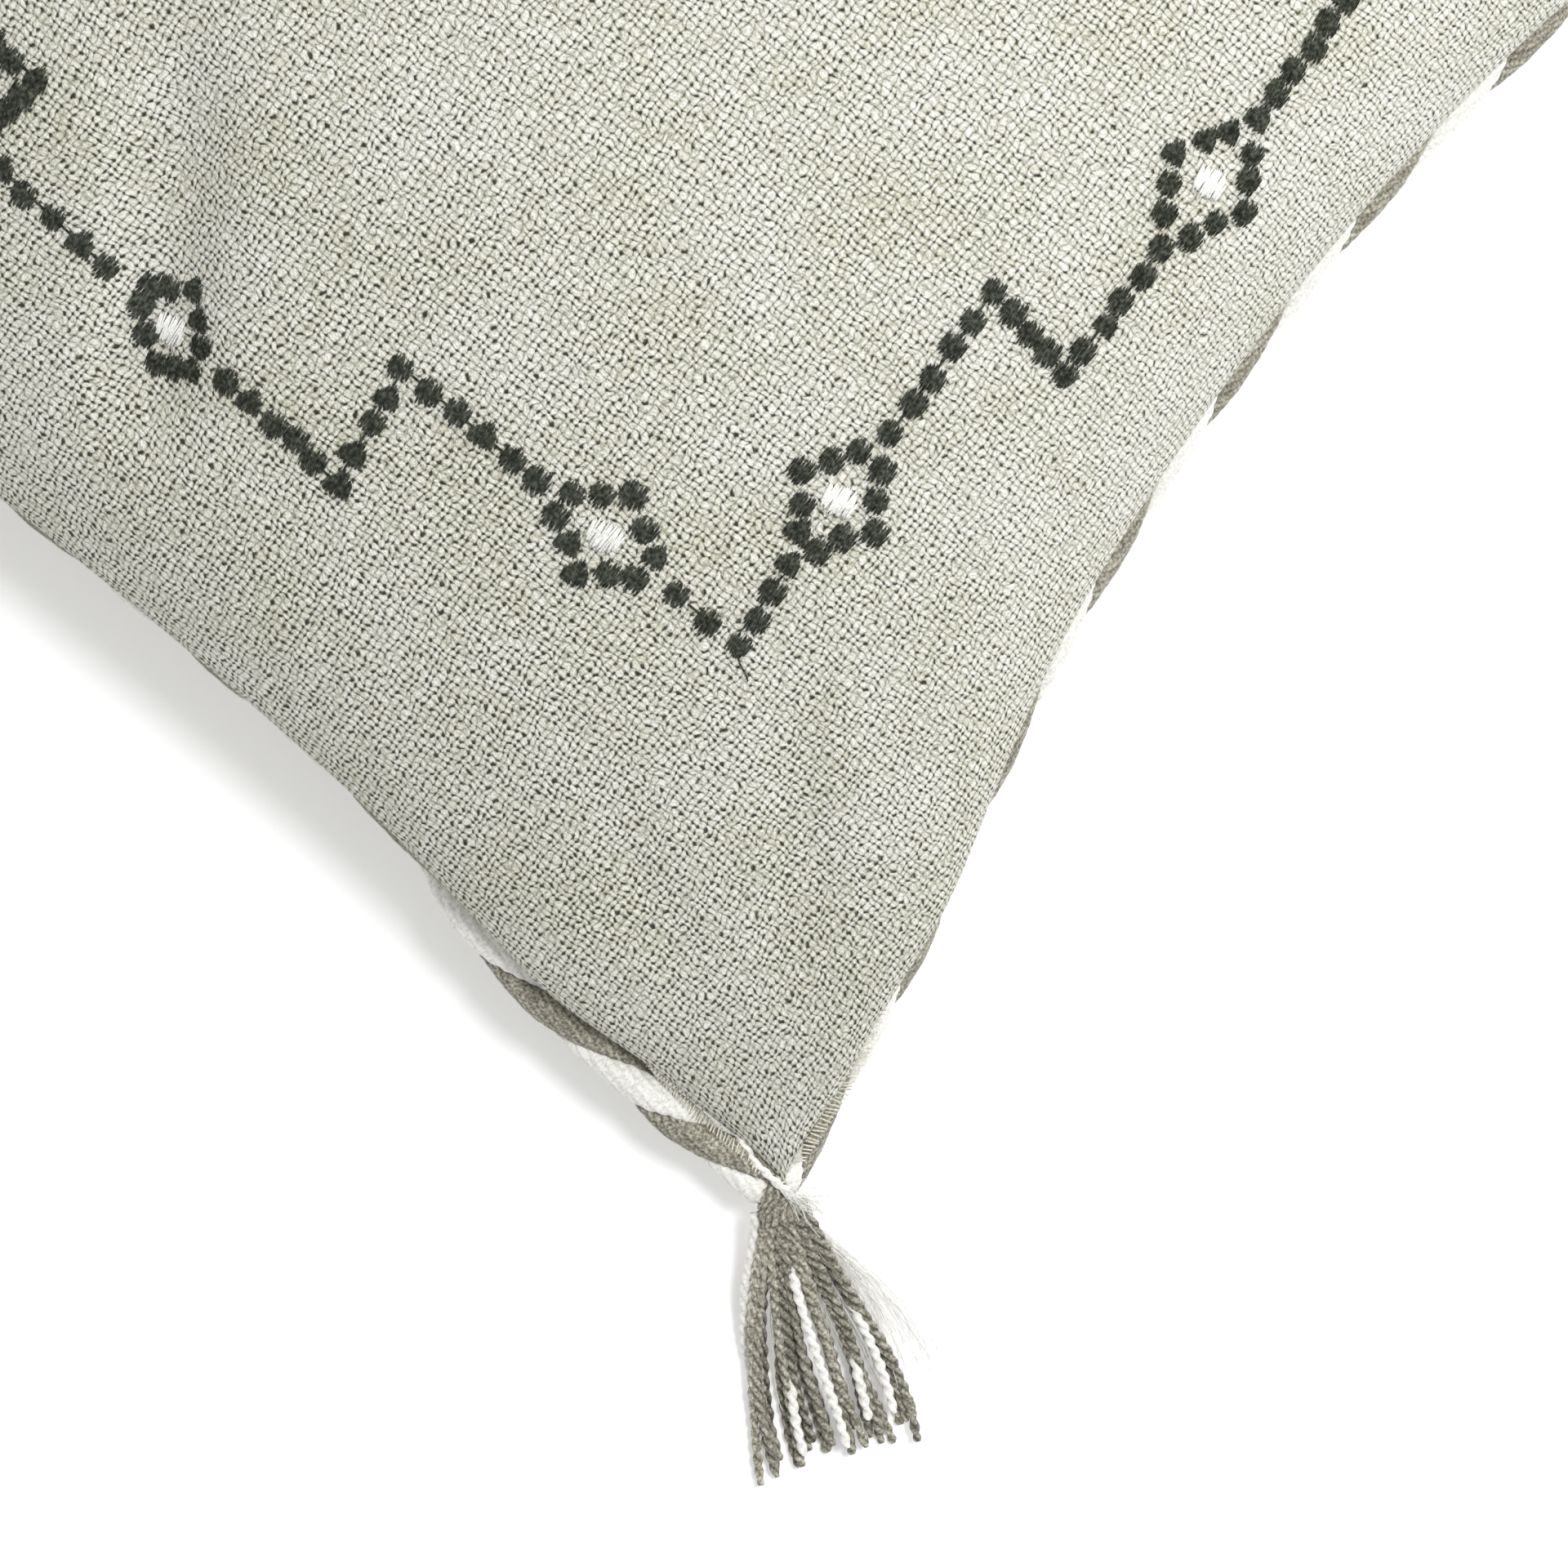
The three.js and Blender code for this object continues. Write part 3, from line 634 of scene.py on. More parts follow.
filling = solid_between("fibre_filling", insert_front, insert_back, FILLING_DEPTH, fibre_fill)
for piece, node, slot in [
    (cover_front, "cover_front", "slub_weave"),
    (cover_back, "cover_back", "back_cloth"),
    (casing_front, "insert_casing_front", "cotton_casing"),
    (casing_back, "insert_casing_back", "cotton_casing"),
    (filling, "insert_filling", "fibre_filling"),
]:
    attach(piece, "pillow")
    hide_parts(node)
print("filling:", len(filling.data.polygons), "faces")

# %% [markdown]
# ## Edge cord
#
# The cord is two thick plies laid round each other with one turn every 51 mm: a tweedy taupe ply
# of eleven strands and a soft ivory ply of eight. It is sewn against the seam, rolls under the
# front side, and runs on into the corner knots. It could be a curve with a bevel, but each ply's
# section is flat on one side and its strands turn as it goes, so it is drawn ring by ring here.

# %% Cord paths
CORD_LAY = 51 * MM
CORD_RADIUS = 5.2 * MM
PLY_ORBIT = 2.1 * MM
CORD_RUN_ON = 6 * MM
# How far the cord's middle lies out from the seam and above it, in millimetres.
CORD_PLACES = {"front": (5.4, -4.0), "right": (6.2, 0.0), "back": (6.2, 0.0), "left": (7.3, 0.0)}
PHASES = {"front": 2.4, "right": 0.6, "back": 0.2, "left": 0.0}
KNOTS = {}
for corner, (cx, cy) in CORNERS.items():
    knot_low, knot_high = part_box(f"tassel_knot_{corner}")
    KNOTS[corner] = np.array((knot_low + knot_high) / 2)
KNOTS["left_front"] = KNOTS["left_front"] + np.array([-0.005, 0.0055, 0])


def seam_place(side, s):
    u, v = {"front": (s, -1), "right": (1, s), "back": (-s, 1), "left": (-1, -s)}[side]
    u, v = u + 0 * s, v + 0 * s
    x, y = plan_point(u, v)
    return np.stack([x, y, seam_height(u, v)], -1)


def bend(start, knee, stop):
    """A short curve from start to stop, drawn towards knee."""
    t = np.linspace(0, 1, 12)[:, None]
    return (1 - t) ** 2 * start + 2 * t * (1 - t) * knee + t**2 * stop


def cord_axis(side, step):
    """The cord's centreline from knot to knot, the distance along it and its length."""
    s = np.linspace(-0.985, 0.985, int(2 * HALF_SIDE / step))
    seam = seam_place(side, s)
    tangent, outward, upward = frames_along(seam)
    out, up = (value * MM + 0 * s for value in CORD_PLACES[side])
    tuck = shoulder(s) if side == "front" else 0 * s
    # It is tucked furthest under the left side's middle and pulled close beside the near corner.
    under = 1 - smooth(np.abs(s), 0.42, 0.62) if side == "left" else 0 * s
    close = 1 - smooth(s, -0.96, -0.72) if side == "front" else 0 * s
    close = 0.5 * smooth(s, 0.8, 0.95) if side == "left" else close
    if side == "left":
        out += 2.4 * MM * smooth(s, 0.5, 0.6) * (1 - smooth(s, 0.68, 0.82))
    axis = seam + (out - 3.6 * MM * tuck - 2.5 * MM * under - 5.0 * MM * close)[:, None] * outward
    axis += (up - 2.5 * MM * tuck - 5.0 * MM * under - 1.5 * MM * close)[:, None] * upward
    corners = list(CORNERS)
    i = SIDES.index(side)
    first = bend(KNOTS[corners[i]], axis[0] - tangent[0] * CORD_RUN_ON, axis[0])
    last = bend(axis[-1], axis[-1] + tangent[-1] * CORD_RUN_ON, KNOTS[corners[(i + 1) % 4]])
    path = np.concatenate([first[:-1], axis, last[1:]])
    length = distances(path)
    even = np.linspace(0, length[-1], int(length[-1] / step))
    path = np.stack([np.interp(even, length, path[:, i]) for i in range(3)], -1)
    return path, even, length[-1]


def ply(side, turn, sides, strands, depth, strand_lay):
    """One ply of the cord: its path and its section, flat where it lies against the other ply."""
    path, distance, total = cord_axis(side, 0.9 * MM)
    _, sideways, lift = frames_along(path)
    turned_by = 2 * np.pi * (distance - total / 2) / CORD_LAY + turn
    if side == "left":
        turned_by += math.radians(50) * smooth(distance, total - 0.05, total - 0.015)
    gather = np.clip(np.minimum(distance, total - distance) / 0.007, 0.5, 1)
    aim = np.cos(turned_by)[:, None] * sideways + np.sin(turned_by)[:, None] * lift
    spot = path + (PLY_ORBIT * gather)[:, None] * aim
    angle = angles(sides)[None, :]
    away = angle - turned_by[:, None]
    to_rim = np.sqrt(CORD_RADIUS**2 - (PLY_ORBIT * np.sin(away)) ** 2) - PLY_ORBIT * np.cos(away)
    to_other = PLY_ORBIT / np.maximum(0.12, -np.cos(away))
    reach = (to_rim**-5 + to_other**-5 + (4.3 * MM) ** -5) ** (-1 / 5)
    uneven = 1 + 0.025 * np.sin(distance * 310 + turn) + 0.02 * np.sin(distance * 741)
    strand_turn = angle + (2 * np.pi * distance / strand_lay)[:, None]
    relief = lobes(strand_turn, strands, depth)
    strand = np.round(strand_turn * strands / (2 * np.pi)).astype(int) % strands
    tone = np.random.default_rng(strands).uniform(-0.1, 0.12, strands)[strand]
    # Painted shade in the grooves between strands, plus a random tone for each strand.
    groove_shade_and_tone = groove_shade(1 - (1 - relief) / depth) + tone
    return spot, reach * (uneven * gather**0.7)[:, None] * relief, groove_shade_and_tone


cord_pieces = {}
for side in SIDES:
    for colour, turn, strands, depth, strand_lay, finish in [
        ("taupe", 0.0, 11, 0.13, 0.034, taupe_yarn),
        ("ivory", np.pi, 8, 0.12, 0.045, ivory_yarn),
    ]:
        made_ply = ply(side, turn + PHASES[side], 66, strands, depth, strand_lay)
        piece = join_tubes(f"cord_{side}_{colour}", [made_ply], finish)
        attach(piece, "pillow")
        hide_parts(f"edge_cord_{side}_{colour}")
        cord_pieces[side, colour] = piece
print("edge cord:", {k: len(p.data.polygons) for k, p in cord_pieces.items() if k[0] == "front"})

# %% [markdown]
# ## Stitches along the cord
#
# A close whip stitch of ecru thread, one stitch every millimetre, holds the cord to the cover's
# edge. Geometry Nodes places one small thread at each point along the seam.


# %% Scatter helper
def thread_lozenge(length, width, thickness, arch=0.0):
    """Points and faces of one short thread, pointed at both ends, along X."""
    points = [(-length / 2, 0, 0)]
    for place in (-0.36, 0.36):
        lift = arch
        for y, z in ((width / 2, 0), (0, thickness), (-width / 2, 0), (0, -thickness)):
            points.append((place * length, y, z + lift))
    points.append((length / 2, 0, 0))
    faces = []
    for k in range(4):
        n = (k + 1) % 4
        faces += [(0, 1 + n, 1 + k), (1 + k, 1 + n, 5 + n, 5 + k), (9, 5 + k, 5 + n)]
    return points, faces


def scatter(name, shapes, places, rotations, choices, sizes, finish):
    """Copies of the shapes at the places, made by Geometry Nodes and turned into a plain mesh."""
    cloud = bpy.data.meshes.new(name + " places")
    cloud.from_pydata([tuple(p) for p in places], [], [])
    for key, kind, values in (
        ("turn", "FLOAT_VECTOR", np.asarray(rotations, np.float32).ravel()),
        ("choice", "INT", np.asarray(choices, np.int32)),
        ("size", "FLOAT", np.asarray(sizes, np.float32)),
    ):
        layer = cloud.attributes.new(key, kind, "POINT")
        layer.data.foreach_set("vector" if kind == "FLOAT_VECTOR" else "value", values)
    made = bpy.data.objects.new(name, cloud)
    bpy.context.scene.collection.objects.link(made)
    tree = bpy.data.node_groups.new(name, "GeometryNodeTree")
    tree.interface.new_socket("Geometry", in_out="INPUT", socket_type="NodeSocketGeometry")
    scale_input = tree.interface.new_socket("Size", in_out="INPUT", socket_type="NodeSocketFloat")
    tree.interface.new_socket("Geometry", in_out="OUTPUT", socket_type="NodeSocketGeometry")
    start = tree.nodes.new("NodeGroupInput")
    shape_set = add_node(tree, "GeometryNodeGeometryToInstance")
    helpers = []
    for i, (points, faces) in enumerate(shapes):
        helper = make_object(f"{name} shape {i}", points, faces, finish)
        helpers.append(helper)
        info = add_node(tree, "GeometryNodeObjectInfo", {"Object": helper})
        tree.links.new(info.outputs["Geometry"], shape_set.inputs[0])
    turn, choice, size = (
        add_node(tree, "GeometryNodeInputNamedAttribute", {"Name": key}, data_type=kind)
        for key, kind in (("turn", "FLOAT_VECTOR"), ("choice", "INT"), ("size", "FLOAT"))
    )
    rotation = add_node(tree, "FunctionNodeEulerToRotation", {0: turn.outputs["Attribute"]})
    scaled = maths(tree, "MULTIPLY", size.outputs["Attribute"], start.outputs["Size"])
    links = {
        "Points": start.outputs["Geometry"],
        "Instance": shape_set.outputs[0],
        "Pick Instance": True,
        "Instance Index": choice.outputs["Attribute"],
        "Rotation": rotation.outputs[0],
        "Scale": scaled,
    }
    spread = add_node(tree, "GeometryNodeInstanceOnPoints", links)
    real = add_node(tree, "GeometryNodeRealizeInstances", {0: spread.outputs[0]})
    links = {"Geometry": real.outputs[0], "Material": finish}
    painted = add_node(tree, "GeometryNodeSetMaterial", links)
    add_node(tree, "NodeGroupOutput", {0: painted.outputs[0]})
    modifier = made.modifiers.new("Scatter", "NODES")
    modifier.node_group = tree
    modifier[scale_input.identifier] = 1.0
    shown = made.evaluated_get(bpy.context.evaluated_depsgraph_get())
    result = bpy.data.meshes.new_from_object(shown)
    made.modifiers.clear()
    made.data = result
    result.materials.clear()
    result.materials.append(finish)
    result.shade_smooth()
    for helper in helpers:
        bpy.data.objects.remove(helper)
    return made


def euler_of(x_axis, z_axis):
    """The rotation that turns X to x_axis and Z as near as it can to z_axis."""
    x_axis = Vector(x_axis).normalized()
    z_axis = Vector(z_axis)
    y_axis = z_axis.cross(x_axis).normalized()
    z_axis = x_axis.cross(y_axis)
    return tuple(Matrix((x_axis, y_axis, z_axis)).transposed().to_euler())


# %% Whip stitches
rng = np.random.default_rng(7)
for side in SIDES:
    s = np.arange(-0.975, 0.975, 1.0 * MM / HALF_SIDE)
    seam = seam_place(side, s)
    tangent, outward, _ = frames_along(seam)
    out, up, slope = (1.3, 1.2, -0.25) if side == "front" else (1.9, 3.1, 0.85)
    places = seam + (out * MM) * outward + np.array([0, 0, up * MM])
    places += rng.normal(0, 0.12 * MM, places.shape)
    turns = [
        euler_of(o + 0.35 * t + np.array([0, 0, slope]) + rng.normal(0, 0.1, 3), (0, 0, 1))
        for o, t in zip(outward, tangent)
    ]
    stitches = scatter(
        f"cord_stitches_{side}",
        [thread_lozenge(3.4 * MM, 0.42 * MM, 0.2 * MM, 0.25 * MM)],
        places, turns, np.zeros(len(s)), rng.uniform(0.85, 1.15, len(s)), ecru_thread,
    )
    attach(stitches, "pillow")
print("stitches on the last side:", len(s), "with", len(stitches.data.polygons), "faces")

# %% [markdown]
# ## Embroidery
#
# A chain of dark green satin-stitched dots runs round the panel: it points at each corner, steps
# outward in the middle of each side, and opens into a ring of ten dots round a white oval three
# times a side. All the satin threads run the same way, as the hoop wasn't turned while working.

# %% Layout of the dots
surface = BVHTree.FromPolygons(fine_front.reshape(-1, 3).tolist(), grid_faces(fine_front.shape[0]))


def on_panel(x, y):
    spot, normal, _, _ = surface.ray_cast(Vector((x, y, 0.3)), Vector((0, 0, -1)))
    return np.array(spot), np.array(normal if normal.z > 0 else -normal)


RING = [(0, 10.3), (5.9, 6.2), (11.2, 3.3), (11.2, -3.3), (5.9, -6.2)]
RING += [(-x, -y) for x, y in RING]
# Distances from the panel's middle to the corner runs and the middle runs, at their ends.
RUNS = {
    "front": (138.6, 135.6, 157.6), "right": (140, 138, 159),
    "back": (140, 138, 160), "left": (140.5, 138.6, 163.0),
}
RING_REACH = 11.2
CORNER_PLACE, FLAT_FROM = 140.5, 93.0
SLOPES = {"front": 0.03, "right": 0.0, "back": 0.0, "left": 0.085}


def run_dots(start, stop, count, ends=(False, False)):
    """Evenly spaced places between two points."""
    share = np.linspace(0, 1, count + 2)
    keep = share[0 if ends[0] else 1 : None if ends[1] else -1]
    return [tuple(np.array(start) * (1 - t) + np.array(stop) * t) for t in keep]


SQUEEZE, SQUEEZE_ALONG, SQUEEZE_ACROSS = 0.3, 0.784, 0.621


def creased(along, across):
    """A place in the left side's middle ring, which the crease has drawn narrower."""
    squeeze = -SQUEEZE * (SQUEEZE_ACROSS * across + SQUEEZE_ALONG * along)
    return along + SQUEEZE_ALONG * squeeze, across + SQUEEZE_ACROSS * squeeze


def side_dots(side):
    """Places along and across one side, in millimetres, counted from the near left corner."""
    near, peak, outer = RUNS[side]
    ring0, jog0, ring1, jog1, ring2 = -102.0, -47.5, 3.0, 52.0, 104.0
    if side == "left":
        ring1, jog1 = 0.4, 56.5

    def line(x):
        return near + (peak - near) * min(1.0, max(0.0, (CORNER_PLACE - abs(x)) / FLAT_FROM))

    def far(x):
        return outer - SLOPES[side] * (x - ring1)

    valley0, valley1 = (jog0 - 1.5, far(jog0)), (jog1 + 1.5, far(jog1))
    inner_end, outer_end = ring1 - RING_REACH, ring1 + RING_REACH
    corner0, corner1 = (-CORNER_PLACE, line(CORNER_PLACE)), (CORNER_PLACE, line(CORNER_PLACE))
    first = run_dots(corner0, (ring0 - RING_REACH, line(102)), 2 if side == "left" else 3)
    second = run_dots((ring0 + RING_REACH, line(102)), (jog0 + 1.5, peak), 5, (False, True))
    second += run_dots((jog0 + 1.5, peak), valley0, 3, (False, True))
    second += run_dots(valley0, (inner_end, far(inner_end)), 5)
    third = run_dots((outer_end, far(outer_end)), valley1, 5, (False, True))
    third += run_dots(valley1, (jog1 - 1.5, peak), 3, (False, True))
    third += run_dots((jog1 - 1.5, peak), (ring2 - RING_REACH, line(104)), 5)
    fourth = run_dots((ring2 + RING_REACH, line(104)), corner1, 3)
    ovals = [(ring0, line(102)), (ring1, outer), (ring2, line(104))]
    dots = []
    for x0, y0 in ovals:
        narrow = side == "left" and x0 == ring1
        dots += [(x0 + x, y0 + y) for x, y in ([creased(*p) for p in RING] if narrow else RING)]
    runs = [first, second, third, fourth]
    return dots + sum(runs, []), ovals, runs


def turned(side, along, across):
    """Plan coordinates in metres. Along the left side, places count from the near corner too."""
    x, y = {
        "front": (along, -across), "right": (across, along),
        "back": (along, across), "left": (-across, along),
    }[side]
    return x * MM, y * MM


# %% Satin-stitched dots and ovals
GRAIN = np.array([math.cos(math.radians(8)), math.sin(math.radians(8)), 0])


def satin(length, width, threads, seed, ragged):
    """Threads side by side that fill a rounded dot, their ends uneven."""
    chance = np.random.default_rng(seed)
    points, faces = [], []
    for row in range(threads):
        y = (row + 0.5) / threads * 2 - 1
        reach = length * math.sqrt(1 - 0.72 * y * y) * (1 + ragged * chance.uniform(-1, 1))
        thick = 1.25 * width / threads * chance.uniform(0.7, 1.1)
        p, f = thread_lozenge(reach, thick, 0.34 * MM, 0.55 * MM * (1 - 0.6 * y * y))
        shift = chance.uniform(-0.5, 0.5) * ragged * length
        lean = chance.uniform(-0.13, 0.13)
        middle = y * width / 2
        base = len(points)
        for a, b, c in p:
            points.append((a + shift, b + middle + a * lean, c + chance.uniform(0, 0.08) * MM))
        faces += [tuple(i + base for i in face) for face in f]
    return points, faces


def stitched_at(x, y, wobble=0.0):
    """A place on the cloth and the turn that lays satin threads along the grain."""
    spot, normal = on_panel(x, y)
    return spot + 0.1 * MM * normal, euler_of(GRAIN - normal * (GRAIN @ normal) + wobble, normal)


dots_at, ovals_at, link_tubes = [], [], []
for x, y in CORNERS.values():
    dots_at.append(stitched_at(0.1403 * x, 0.1396 * y))
for side in SIDES:
    dots, ovals, runs = side_dots(side)
    for along, across in dots:
        x, y = turned(side, along + rng.normal(0, 0.35), across + rng.normal(0, 0.35))
        dots_at.append(stitched_at(x, y, rng.normal(0, 0.06, 3)))
    ovals_at += [stitched_at(*turned(side, *oval)) for oval in ovals]
    for run in runs:
        ends = np.array([turned(side, *p) for p in run])
        spots = [a + (b - a) * t for a, b in zip(ends[:-1], ends[1:]) for t in (0, 0.33, 0.66)]
        path = np.array([on_panel(*spot)[0] + np.array([0, 0, 0.25 * MM]) for spot in spots])
        link_tubes.append(round_thread(path, 0.3 * MM))

# One thread end hangs loose at the near left corner.
tail_share = np.linspace(0, 1, 14)
tail_x = -0.1415 - 0.0036 * tail_share
tail_y = -0.1412 - 0.0040 * tail_share + 0.0009 * np.sin(5 * tail_share)
tail = np.array([on_panel(x, y)[0] + np.array([0, 0, 0.35 * MM]) for x, y in zip(tail_x, tail_y)])
link_tubes.append(round_thread(tail, 0.22 * MM))
green_shapes = [satin(6.5 * MM, 5.7 * MM, 12, seed, 0.2) for seed in range(4)]
green_dots = scatter(
    "green_dots", green_shapes, *zip(*dots_at),
    rng.integers(0, 4, len(dots_at)), rng.uniform(0.93, 1.07, len(dots_at)), green_thread,
)
white_shapes = [satin(8.2 * MM, 7.8 * MM, 16, seed, 0.12) for seed in (11, 12)]
white_ovals = scatter(
    "white_ovals", white_shapes, *zip(*ovals_at),
    rng.integers(0, 2, len(ovals_at)), rng.uniform(0.97, 1.05, len(ovals_at)), white_thread,
)
green_links = join_tubes("green_linking_threads", link_tubes, green_thread)
for piece in (green_dots, white_ovals, green_links):
    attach(piece, "pillow")
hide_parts("embroidery_green_line")
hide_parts(*[f"embroidery_white_{side}_{i}" for side in SIDES for i in (1, 2, 3)])
print(len(dots_at), "dots,", len(green_dots.data.polygons), "faces;", len(ovals_at), "ovals")

# %% [markdown]
# ## Knots and tassels
#
# At each corner the two cords' yarns are gathered, bound with a few turns and cut about 60 mm
# below. The loose yarns are two-ply, so a twist runs along each, and they fan out on the surface
# the pillow lies on. The ivory yarns are softer and their fibres spread into wisps. Hair curves
# would be quicker, but they don't survive an export, so every yarn is a closed tube of its own.

# %% Knots
DIRECTIONS = {"left_front": 9.9, "right_front": -4.0, "right_back": 6.0, "left_back": -7.0}


def tassel_axis(corner):
    cx, cy = CORNERS[corner]
    angle = math.atan2(cy, cx) + math.radians(DIRECTIONS[corner])
    return np.array([math.cos(angle), math.sin(angle), 0])


def loose_yarn(path, radius, lay, tone=0.0):
    """A two-ply yarn along a path, a little thinner at its cut end. tone darkens the whole yarn."""
    gaps = distances(path)
    tips = np.minimum(1, 0.6 + (gaps[-1] - gaps) / 0.002)
    uneven = 1 + 0.07 * np.sin(gaps * 420 + 60 * tone) + 0.05 * np.sin(gaps * 1130)
    spin = angles(12)[None, :] - (2 * np.pi * gaps / lay)[:, None]
    section = two_ply(spin)
    # Painted shade in the groove between the two plies, plus the yarn's tone.
    groove_shade_and_tone = groove_shade((section - section.min()) / (1 - section.min())) + tone
    return path, radius * (tips * uneven)[:, None] * section, groove_shade_and_tone


for corner in CORNERS:
    axis = tassel_axis(corner)
    cross = np.cross((0, 0, 1), axis)
    middle = KNOTS[corner]
    turns = np.linspace(0, 2 * np.pi * 1.7, 90)
    along = np.linspace(-1.3, 1.3, 90) * MM
    round_knot = np.cos(turns)[:, None] * cross + np.sin(turns)[:, None] * np.array([0, 0, 1])
    wrap = middle + along[:, None] * axis + 3.5 * MM * round_knot
    core_along = np.linspace(-5.4, 4.4, 24) * MM
    core = middle + core_along[:, None] * axis
    core_reach = 3.7 * MM + 1.3 * MM * (core_along / (5 * MM)) ** 2
    core_reach = core_reach * np.sqrt(np.maximum(0.05, 1 - (core_along / (5.6 * MM)) ** 8))
    relief = lobes(angles(66)[None, :] + core_along[:, None] * 120, 11, 0.2)
    # The core's grooves carry painted shade.
    tubes = [
        loose_yarn(wrap, 0.8 * MM, 4.4 * MM),
        (core, core_reach[:, None] * relief, groove_shade(1 - (1 - relief) / 0.2)),
    ]
    knot = join_tubes(f"knot_{corner}", tubes, taupe_yarn)
    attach(knot, f"tassel_knot_{corner}")
    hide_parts(f"tassel_knot_{corner}")
print("last knot:", len(knot.data.polygons), "faces")


# %% Tassel yarns
def yarn_path(chance, middle, axis, spread, length, lift, start, emerge=0.0):
    """One loose yarn from the knot to its cut end, sagging to the surface as it goes. The fan opens
    like a bell. emerge is the share of its length that the yarn first runs beneath the others."""
    cross = np.cross((0, 0, 1), axis)
    t = np.linspace(0, 1, int(length / (0.5 * MM)))
    reach = length * (1 - 0.12 * abs(spread))
    bell = 0.1 * t + 0.9 * np.sin(np.pi / 2 * t) ** 1.1
    side = start * (1 - t) ** 2 + length * math.sin(spread) * bell
    side += 1.1 * MM * np.sin(chance.uniform(4, 8) * t + chance.uniform(0, 6)) * t
    z = middle[2] - (middle[2] - lift) * smooth(t, -0.25, 0.85) + 1.2 * MM * np.sin(np.pi * t) ** 2
    if emerge > 0:
        z = z - 4.5 * MM * (1 - smooth(t, emerge - 0.2, emerge))
    path = middle + (0.5 * MM + t * reach)[:, None] * axis + side[:, None] * cross
    path[:, 2] = np.maximum(z, 1.35 * MM)
    return path


WISP_RADIUS = 0.07 * MM
# Each ivory yarn: direction, length, height of its end, and where it comes up from beneath.
IVORY_YARNS = [
    (-25, 44, 3.0, 0.0), (-9, 60, 7.4, 0.82), (-1, 60, 8.6, 0.36),
    (8, 56, 7.5, 0.84), (14, 57, 7.0, 0.6),
]
for corner in CORNERS:
    chance = np.random.default_rng(20 + list(CORNERS).index(corner))
    axis = tassel_axis(corner)
    middle = KNOTS[corner]
    taupe, ivory = [], []
    fan = np.radians(np.linspace(-19, 18, 27))
    for i, spread in enumerate(fan):
        length = (59.5 + 3.5 * chance.uniform(-1, 1) + 3 * abs(spread) / fan[-1]) * MM
        lift = (1.5, 3.3, 5.2)[i % 3] * MM
        start = np.interp(spread, (fan[0], 0, fan[-1]), (-3.5, 0.5, 6.5)) * MM
        turned_to = spread + chance.normal(0, 0.035)
        place = yarn_path(chance, middle, axis, turned_to, length, lift, start)
        lay = chance.uniform(5.5, 9.0) * MM
        radius = chance.uniform(1.12, 1.34) * MM
        taupe.append(loose_yarn(place, radius, lay, chance.uniform(-0.22, 0.3)))
    for spread, length, lift, emerge in IVORY_YARNS:
        spots = (length * MM, lift * MM, spread * 0.2 * MM, emerge)
        place = yarn_path(chance, middle, axis, math.radians(spread), *spots)
        ivory.append(loose_yarn(place, 1.3 * MM, 6.5 * MM))
    wisps = []
    for _ in range(200):
        widest = (10, 34) if chance.uniform() < 0.8 else (-18, 22)
        spread = math.radians(chance.uniform(*widest))
        spots = [chance.uniform(*span) * MM for span in ((14, 54), (1.0, 7), (0, 4))]
        place = yarn_path(chance, middle, axis, spread, *spots)[::6]
        wisps.append(round_thread(place, WISP_RADIUS, 4))
    for name, tubes, finish, slot in (
        ("taupe_yarns", taupe, taupe_yarn, "taupe_yarn"),
        ("ivory_yarns", ivory, ivory_yarn, "ivory_yarn"),
        ("ivory_wisps", wisps, ivory_yarn, "ivory_yarn"),
    ):
        piece = join_tubes(f"tassel_{corner}_{name}", tubes, finish)
        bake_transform(piece)
        if name == "taupe_yarns":
            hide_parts(f"tassel_skirt_{corner}")
print("last tassel:", len(taupe), "taupe yarns,", len(ivory), "ivory yarns,", len(wisps), "wisps")


# %% Loose ivory strand
# At the near left corner one strand has slipped out of the cord and lies along the cloth's edge.
bends = np.array([(8.5, 19, 5.5), (5.3, 10.6, 5.0), (4.6, 2.9, 4.6), (4.6, -3.6, 3.0)]) * MM
share = np.linspace(0, 3, 40)
strand_path = np.stack([np.interp(share, range(4), bends[:, i]) for i in range(3)], -1)
for _ in range(3):
    strand_path[1:-1] = (strand_path[:-2] + strand_path[1:-1] + strand_path[2:]) / 3
strand_path += KNOTS["left_front"]
tufts = [loose_yarn(strand_path, 1.1 * MM, 6.5 * MM)]
chance = np.random.default_rng(61)
for _ in range(70):
    root = strand_path[-1 - int(chance.integers(0, 14))]
    heading = tassel_axis("left_front") * chance.uniform(-0.1, 1)
    heading = heading + np.array([0.8, -1, 0]) * chance.uniform(0.1, 0.9)
    heading = heading / np.linalg.norm(heading) * chance.uniform(3, 11) * MM
    curl = chance.normal(0, 0.8 * MM, 3)
    t = np.linspace(0, 1, 8)[:, None]
    hair = root + heading * t + curl * np.sin(3 * t) - np.array([0, 0, 2 * MM]) * t * t
    tufts.append(round_thread(hair, WISP_RADIUS, 4))
strand = join_tubes("loose_ivory_strand", tufts, ivory_yarn)
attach(strand, "pillow")
print("loose strand:", len(strand.data.polygons), "faces")

# %% [markdown]
# ## Zip
#
# A closed nylon coil zip sits under the cord on the back side, so the cover can come off to be
# washed. Its tapes are woven, its teeth are a coil of monofilament, and the slider is cast metal.


# %% Zip finishes on the CAD pieces
def plain_finish(name, colour, roughness, metallic=0.0):
    made, tree, shader = material(name, roughness, 0.0, metallic)
    place = add_node(tree, "ShaderNodeTexCoord").outputs["Object"]
    grain = noise(tree, place, 900, 2.0).outputs[0]
    light, dark = colour
    set_colour(tree, shader, ramp(tree, grain, (0.3, dark), (0.7, light)))
    set_bump(tree, shader, grain, 0.02 * MM)
    return made


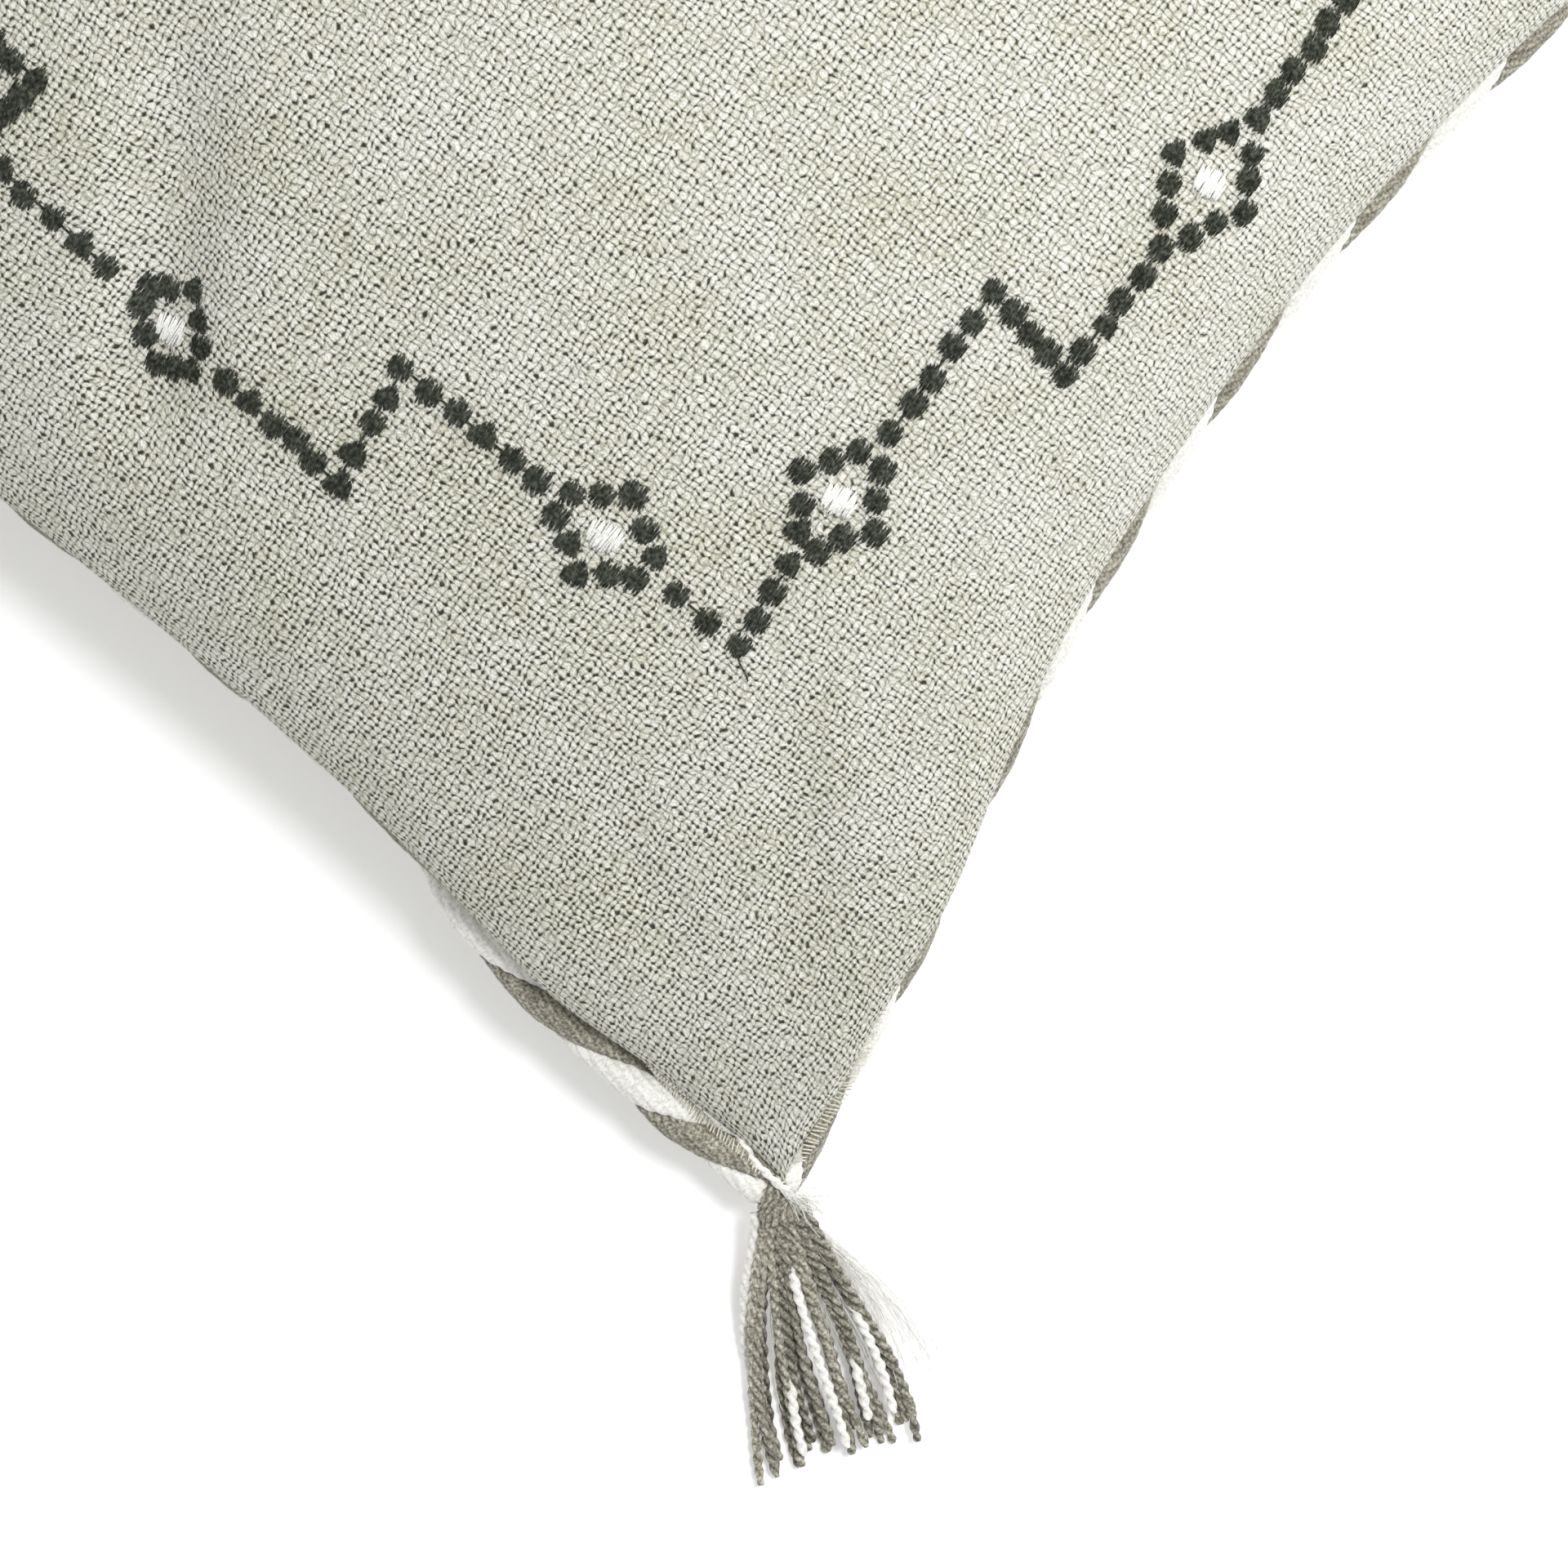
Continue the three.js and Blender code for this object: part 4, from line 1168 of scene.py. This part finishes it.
nylon = plain_finish("Nylon coil", ("#dedccf", "#cfccbe"), 0.45)
zip_metal = plain_finish("Satin lacquered zinc", ("#bdbab0", "#a9a69b"), 0.35, 1.0)
# Tape colours with painted shade between the floats and painted highlight on them.
TAPE_COLOUR_AND_SHADE_STOPS = [(0.34, "#a5a293"), (0.5, "#b9b6a7"), (0.9, "#cfccbf")]
zip_tape = woven("Woven zip tape", 0.5 * MM, TAPE_COLOUR_AND_SHADE_STOPS, 0.2, 0.06 * MM, 0.05)
for name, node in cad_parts.items():
    if name in ("zip_stop_closed", "zip_stop_open", "zip_slider", "zip_pull"):
        node.data.materials.clear()
        node.data.materials.append(zip_metal)

# %% Zip tapes and coils
COIL_PITCH, WIRE_RADIUS, WIRE_SWELL = 1.1 * MM, 0.24 * MM, 0.3
COIL_DEPTH, COIL_HEIGHT = 0.55 * MM, 0.68 * MM
coil_ring = ([], [])
for k in range(8):
    around = 2 * math.pi * k / 8
    for m in range(4):
        wire = 2 * math.pi * m / 4
        grow = 1 + WIRE_SWELL * math.cos(wire)
        y = COIL_DEPTH * grow * math.cos(around)
        z = COIL_HEIGHT * grow * math.sin(around)
        coil_ring[0].append((WIRE_RADIUS * math.sin(wire), y, z))
        a, b, c = k * 4 + m, k * 4 + (m + 1) % 4, (k + 1) % 8 * 4
        coil_ring[1].append((a, b, c + (m + 1) % 4, c + m))
for part in ("upper", "lower"):
    low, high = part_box(f"zip_tape_{part}")
    xs, zs = np.meshgrid(np.linspace(low.x, high.x, 24), np.linspace(low.z, high.z, 24))
    ys = high.y + 0.05 * MM * np.sin(xs * 230)
    tape = shell(f"zip_cloth_{part}", np.stack([xs, ys, zs], -1), -1, 0.0, 0.5 * MM, zip_tape)
    low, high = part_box(f"zip_teeth_{part}")
    xs = np.arange(low.x + 0.3 * MM, high.x, COIL_PITCH)
    places = [(x, (low.y + high.y) / 2, (low.z + high.z) / 2) for x in xs]
    turns = [(0, 0, 0.25)] * len(xs)
    coil = scatter(
        f"zip_coil_{part}", [coil_ring], places, turns, np.zeros(len(xs)), np.ones(len(xs)), nylon
    )
    for piece, node, slot in (
        (tape, f"zip_tape_{part}", "zip_tape"), (coil, f"zip_teeth_{part}", "nylon_teeth"),
    ):
        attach(piece, "pillow")
        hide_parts(node)
print("zip coil:", len(places), "turns in", len(coil.data.polygons), "faces")

# %% [markdown]
# ## Setting, light and camera
#
# The pillow lies on a plain white surface, faintly lit from below as a light table is, so its
# shadow stays pale. A soft light from one side leaves a narrow grey shadow along the other. The
# camera looks straight down at one corner.

# %% Floor
floor_mesh = bpy.data.meshes.new("floor")
floor_mesh.from_pydata([(-3, -3, 0), (3, -3, 0), (3, 3, 0), (-3, 3, 0)], [], [(0, 1, 2, 3)])
floor = bpy.data.objects.new("floor", floor_mesh)
bpy.context.scene.collection.objects.link(floor)
floor_paint, _, floor_shader = material("Matt white surface", 0.9)
floor_shader.inputs["Base Color"].default_value = linear("#f7f7f7")
floor_shader.inputs["Emission Color"].default_value = linear("#ffffff")
floor_shader.inputs["Emission Strength"].default_value = 0.22
floor_mesh.materials.append(floor_paint)

# %% Light and camera
scene = bpy.context.scene
world = bpy.data.worlds.new("Soft daylight")
world.use_nodes = True
world.node_tree.nodes["Background"].inputs[0].default_value = linear("#ffffff")
world.node_tree.nodes["Background"].inputs[1].default_value = 0.5
scene.world = world
scene.view_settings.view_transform = "Standard"


def area_light(name, place, aim, size, power):
    light = bpy.data.lights.new(name, "AREA")
    light.shape = "DISK"
    light.size = size
    light.energy = power
    made = bpy.data.objects.new(name, light)
    made.location = place
    made.rotation_euler = (Vector(aim) - Vector(place)).to_track_quat("-Z", "Y").to_euler()
    scene.collection.objects.link(made)
    return made


area_light("Key window", (0.5, -0.4, 2.3), (-0.1, -0.1, 0), 0.5, 30)
area_light("Side window", (1.4, -0.9, 0.9), (-0.1, -0.1, 0.05), 1.4, 11)
area_light("Fill", (0.2, 0.3, 3.0), (0, 0, 0), 2.2, 8)

camera_data = bpy.data.cameras.new("Camera")
camera_data.lens = 125.8
camera_data.sensor_width = 36
camera = bpy.data.objects.new("Camera", camera_data)
camera.location = (-0.1579, -0.1664, 1.3)
camera.rotation_euler = (0, 0, math.radians(-51.6))
scene.collection.objects.link(camera)
scene.camera = camera
